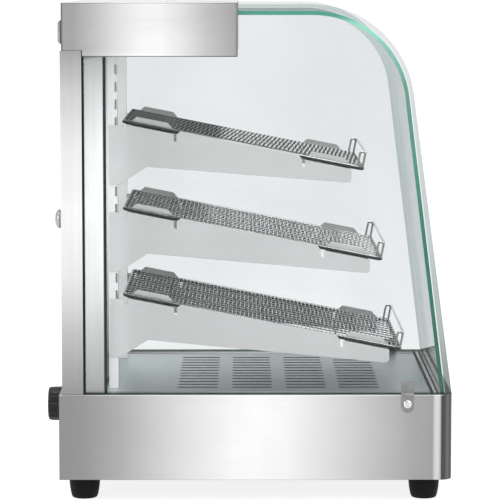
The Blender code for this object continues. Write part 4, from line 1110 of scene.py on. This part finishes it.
def make_clips_and_screws(finish):
    for hand, side in (("left", -1), ("right", 1)):
        make_clip(hand, side, finish)
        middle = middle_of(*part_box(f"clip_screw_{hand}"))
        where = (side * (HALF_WIDTH + SHEET + 2 * GAP), middle.y, middle.z)
        screw(
            f"cross_screw_{hand}", where, (side, 0, 0), CLIP_SCREW_RADIUS, CLIP_SCREW_HEIGHT, finish,
            f"clip_screw_{hand}"
        )
        low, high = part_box(f"header_screw_{hand}")
        tall = high.z - HEADER_HIGH.z - GAP
        where = (*middle_of(low, high).xy, high.z - tall)
        screw(
            f"cross_screw_header_{hand}", where, (0, 0, 1), HEADER_SCREW_RADIUS, tall, finish,
            f"header_screw_{hand}"
        )


# ---- gaskets, deck strips, CAD nodes ------------------------------------------------------------
DECK_STRIP_HEIGHT = 0.0016
# depth of the rear and the front edge, half length
DECK_STRIPS = {
    "front_outer": (0.4622, 0.4634, 0.176),
    "front_inner": (0.4552, 0.4576, 0.176),
    # the rear strip stands in for the shadow in the gap behind the heated floor: painted shade
    "rear": (0.0532, 0.0552, 0.156),
}


def make_gaskets(finish):
    """Black strip in the joint between each corner post and the rear edge of the side pane."""
    for hand, side in (("left", -1), ("right", 1)):
        post_low, post_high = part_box(f"corner_post_{hand}")
        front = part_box(f"side_glass_{hand}")[1].y + GAP
        rear = FLANGE_REAR - GAP
        size = (GLASS, rear - front, post_high.z - post_low.z - 0.001)
        x = side * (PANE_OUTER - GLASS / 2 - 0.0004)
        matrix = Matrix.Translation((x, (front + rear) / 2, middle_of(post_low, post_high).z))
        strip = block(f"pane_gasket_{hand}", size, matrix, finish["seal"], 0.0004)
        place(strip, "case", "black_rubber")


def make_deck_strips(finish):
    """Low black strips across the deck: two at the foot of the curved sheet, and one behind the heated floor
    that is painted shade for the dark gap there.
    """
    for name, (start, stop, half) in DECK_STRIPS.items():
        size = (2 * half, stop - start, DECK_STRIP_HEIGHT)
        matrix = Matrix.Translation((0, y_at((start + stop) / 2), BASE_TOP + GAP + DECK_STRIP_HEIGHT / 2))
        place(block(f"deck_strip_{name}", size, matrix, finish["seal"], 0.0003), "case", "black_rubber")


PAINTED = {
    "inner": (
        "base_rear_panel", "header_tray", "heater_rail_front", "heater_rail_rear", "thermostat_body",
        "thermostat_shaft", "door_pivot_bottom", "door_pivot_top",
    ),
    # near-black bottom plate: painted shade seen through the floor's slots
    "under_shade": ("base_bottom_plate",),
    "seal": ("pane_seal_left", "pane_seal_right"),
    "heater": ("heater_left", "heater_right"),
    "white_plastic": ("lamp_holder_left", "lamp_holder_right", "terminal_block"),
    "plastic": (
        "power_switch_body", "lamp_switch_body", "power_rocker", "lamp_rocker", "mains_inlet", "door_catch"
    ),
    "bezel": ("thermometer_bezel",),
    "display": ("thermometer_display",),
    "lens": ("pilot_lamp",),
    "opal": ("lamp_tube",),
}


def dress_cad_nodes(finish):
    """Rounded sheet parts, and better materials on every CAD node that stays."""
    formed("base_shell", finish["base"], 0.0009)
    formed("header_shell", finish["header"], 0.0009)
    for hand in ("left", "right"):
        formed(f"corner_post_{hand}", finish["post"], 0.0006)
        formed(f"upright_{hand}", finish["upright"], 0.0003)
        for level in ARM_ENDS:
            formed(f"bracket_{level}_{hand}", finish["bracket"], 0.0007, slot="satin_steel")
    for end in ("bottom", "top"):
        formed(f"door_shoe_{end}", finish["chrome"], 0.0006, "door", "chrome")
    for look, nodes in PAINTED.items():
        for node in nodes:
            paint(node, finish[look])


make_camera()
make_stage()
FINISH = {**steel_finishes(), **plated_finishes(), **moulded_finishes(), **glass_finishes()}
dress_cad_nodes(FINISH)
make_side_panes(FINISH)
make_curved_glass(FINISH)
make_door_glass(FINISH)
for shelf in ARM_ENDS:
    make_rack(shelf, FINISH)
make_gaskets(FINISH)
make_deck_strips(FINISH)
make_floor_panel(FINISH)
make_feet(FINISH)
make_knob(FINISH)
make_pull(FINISH)
make_clips_and_screws(FINISH)
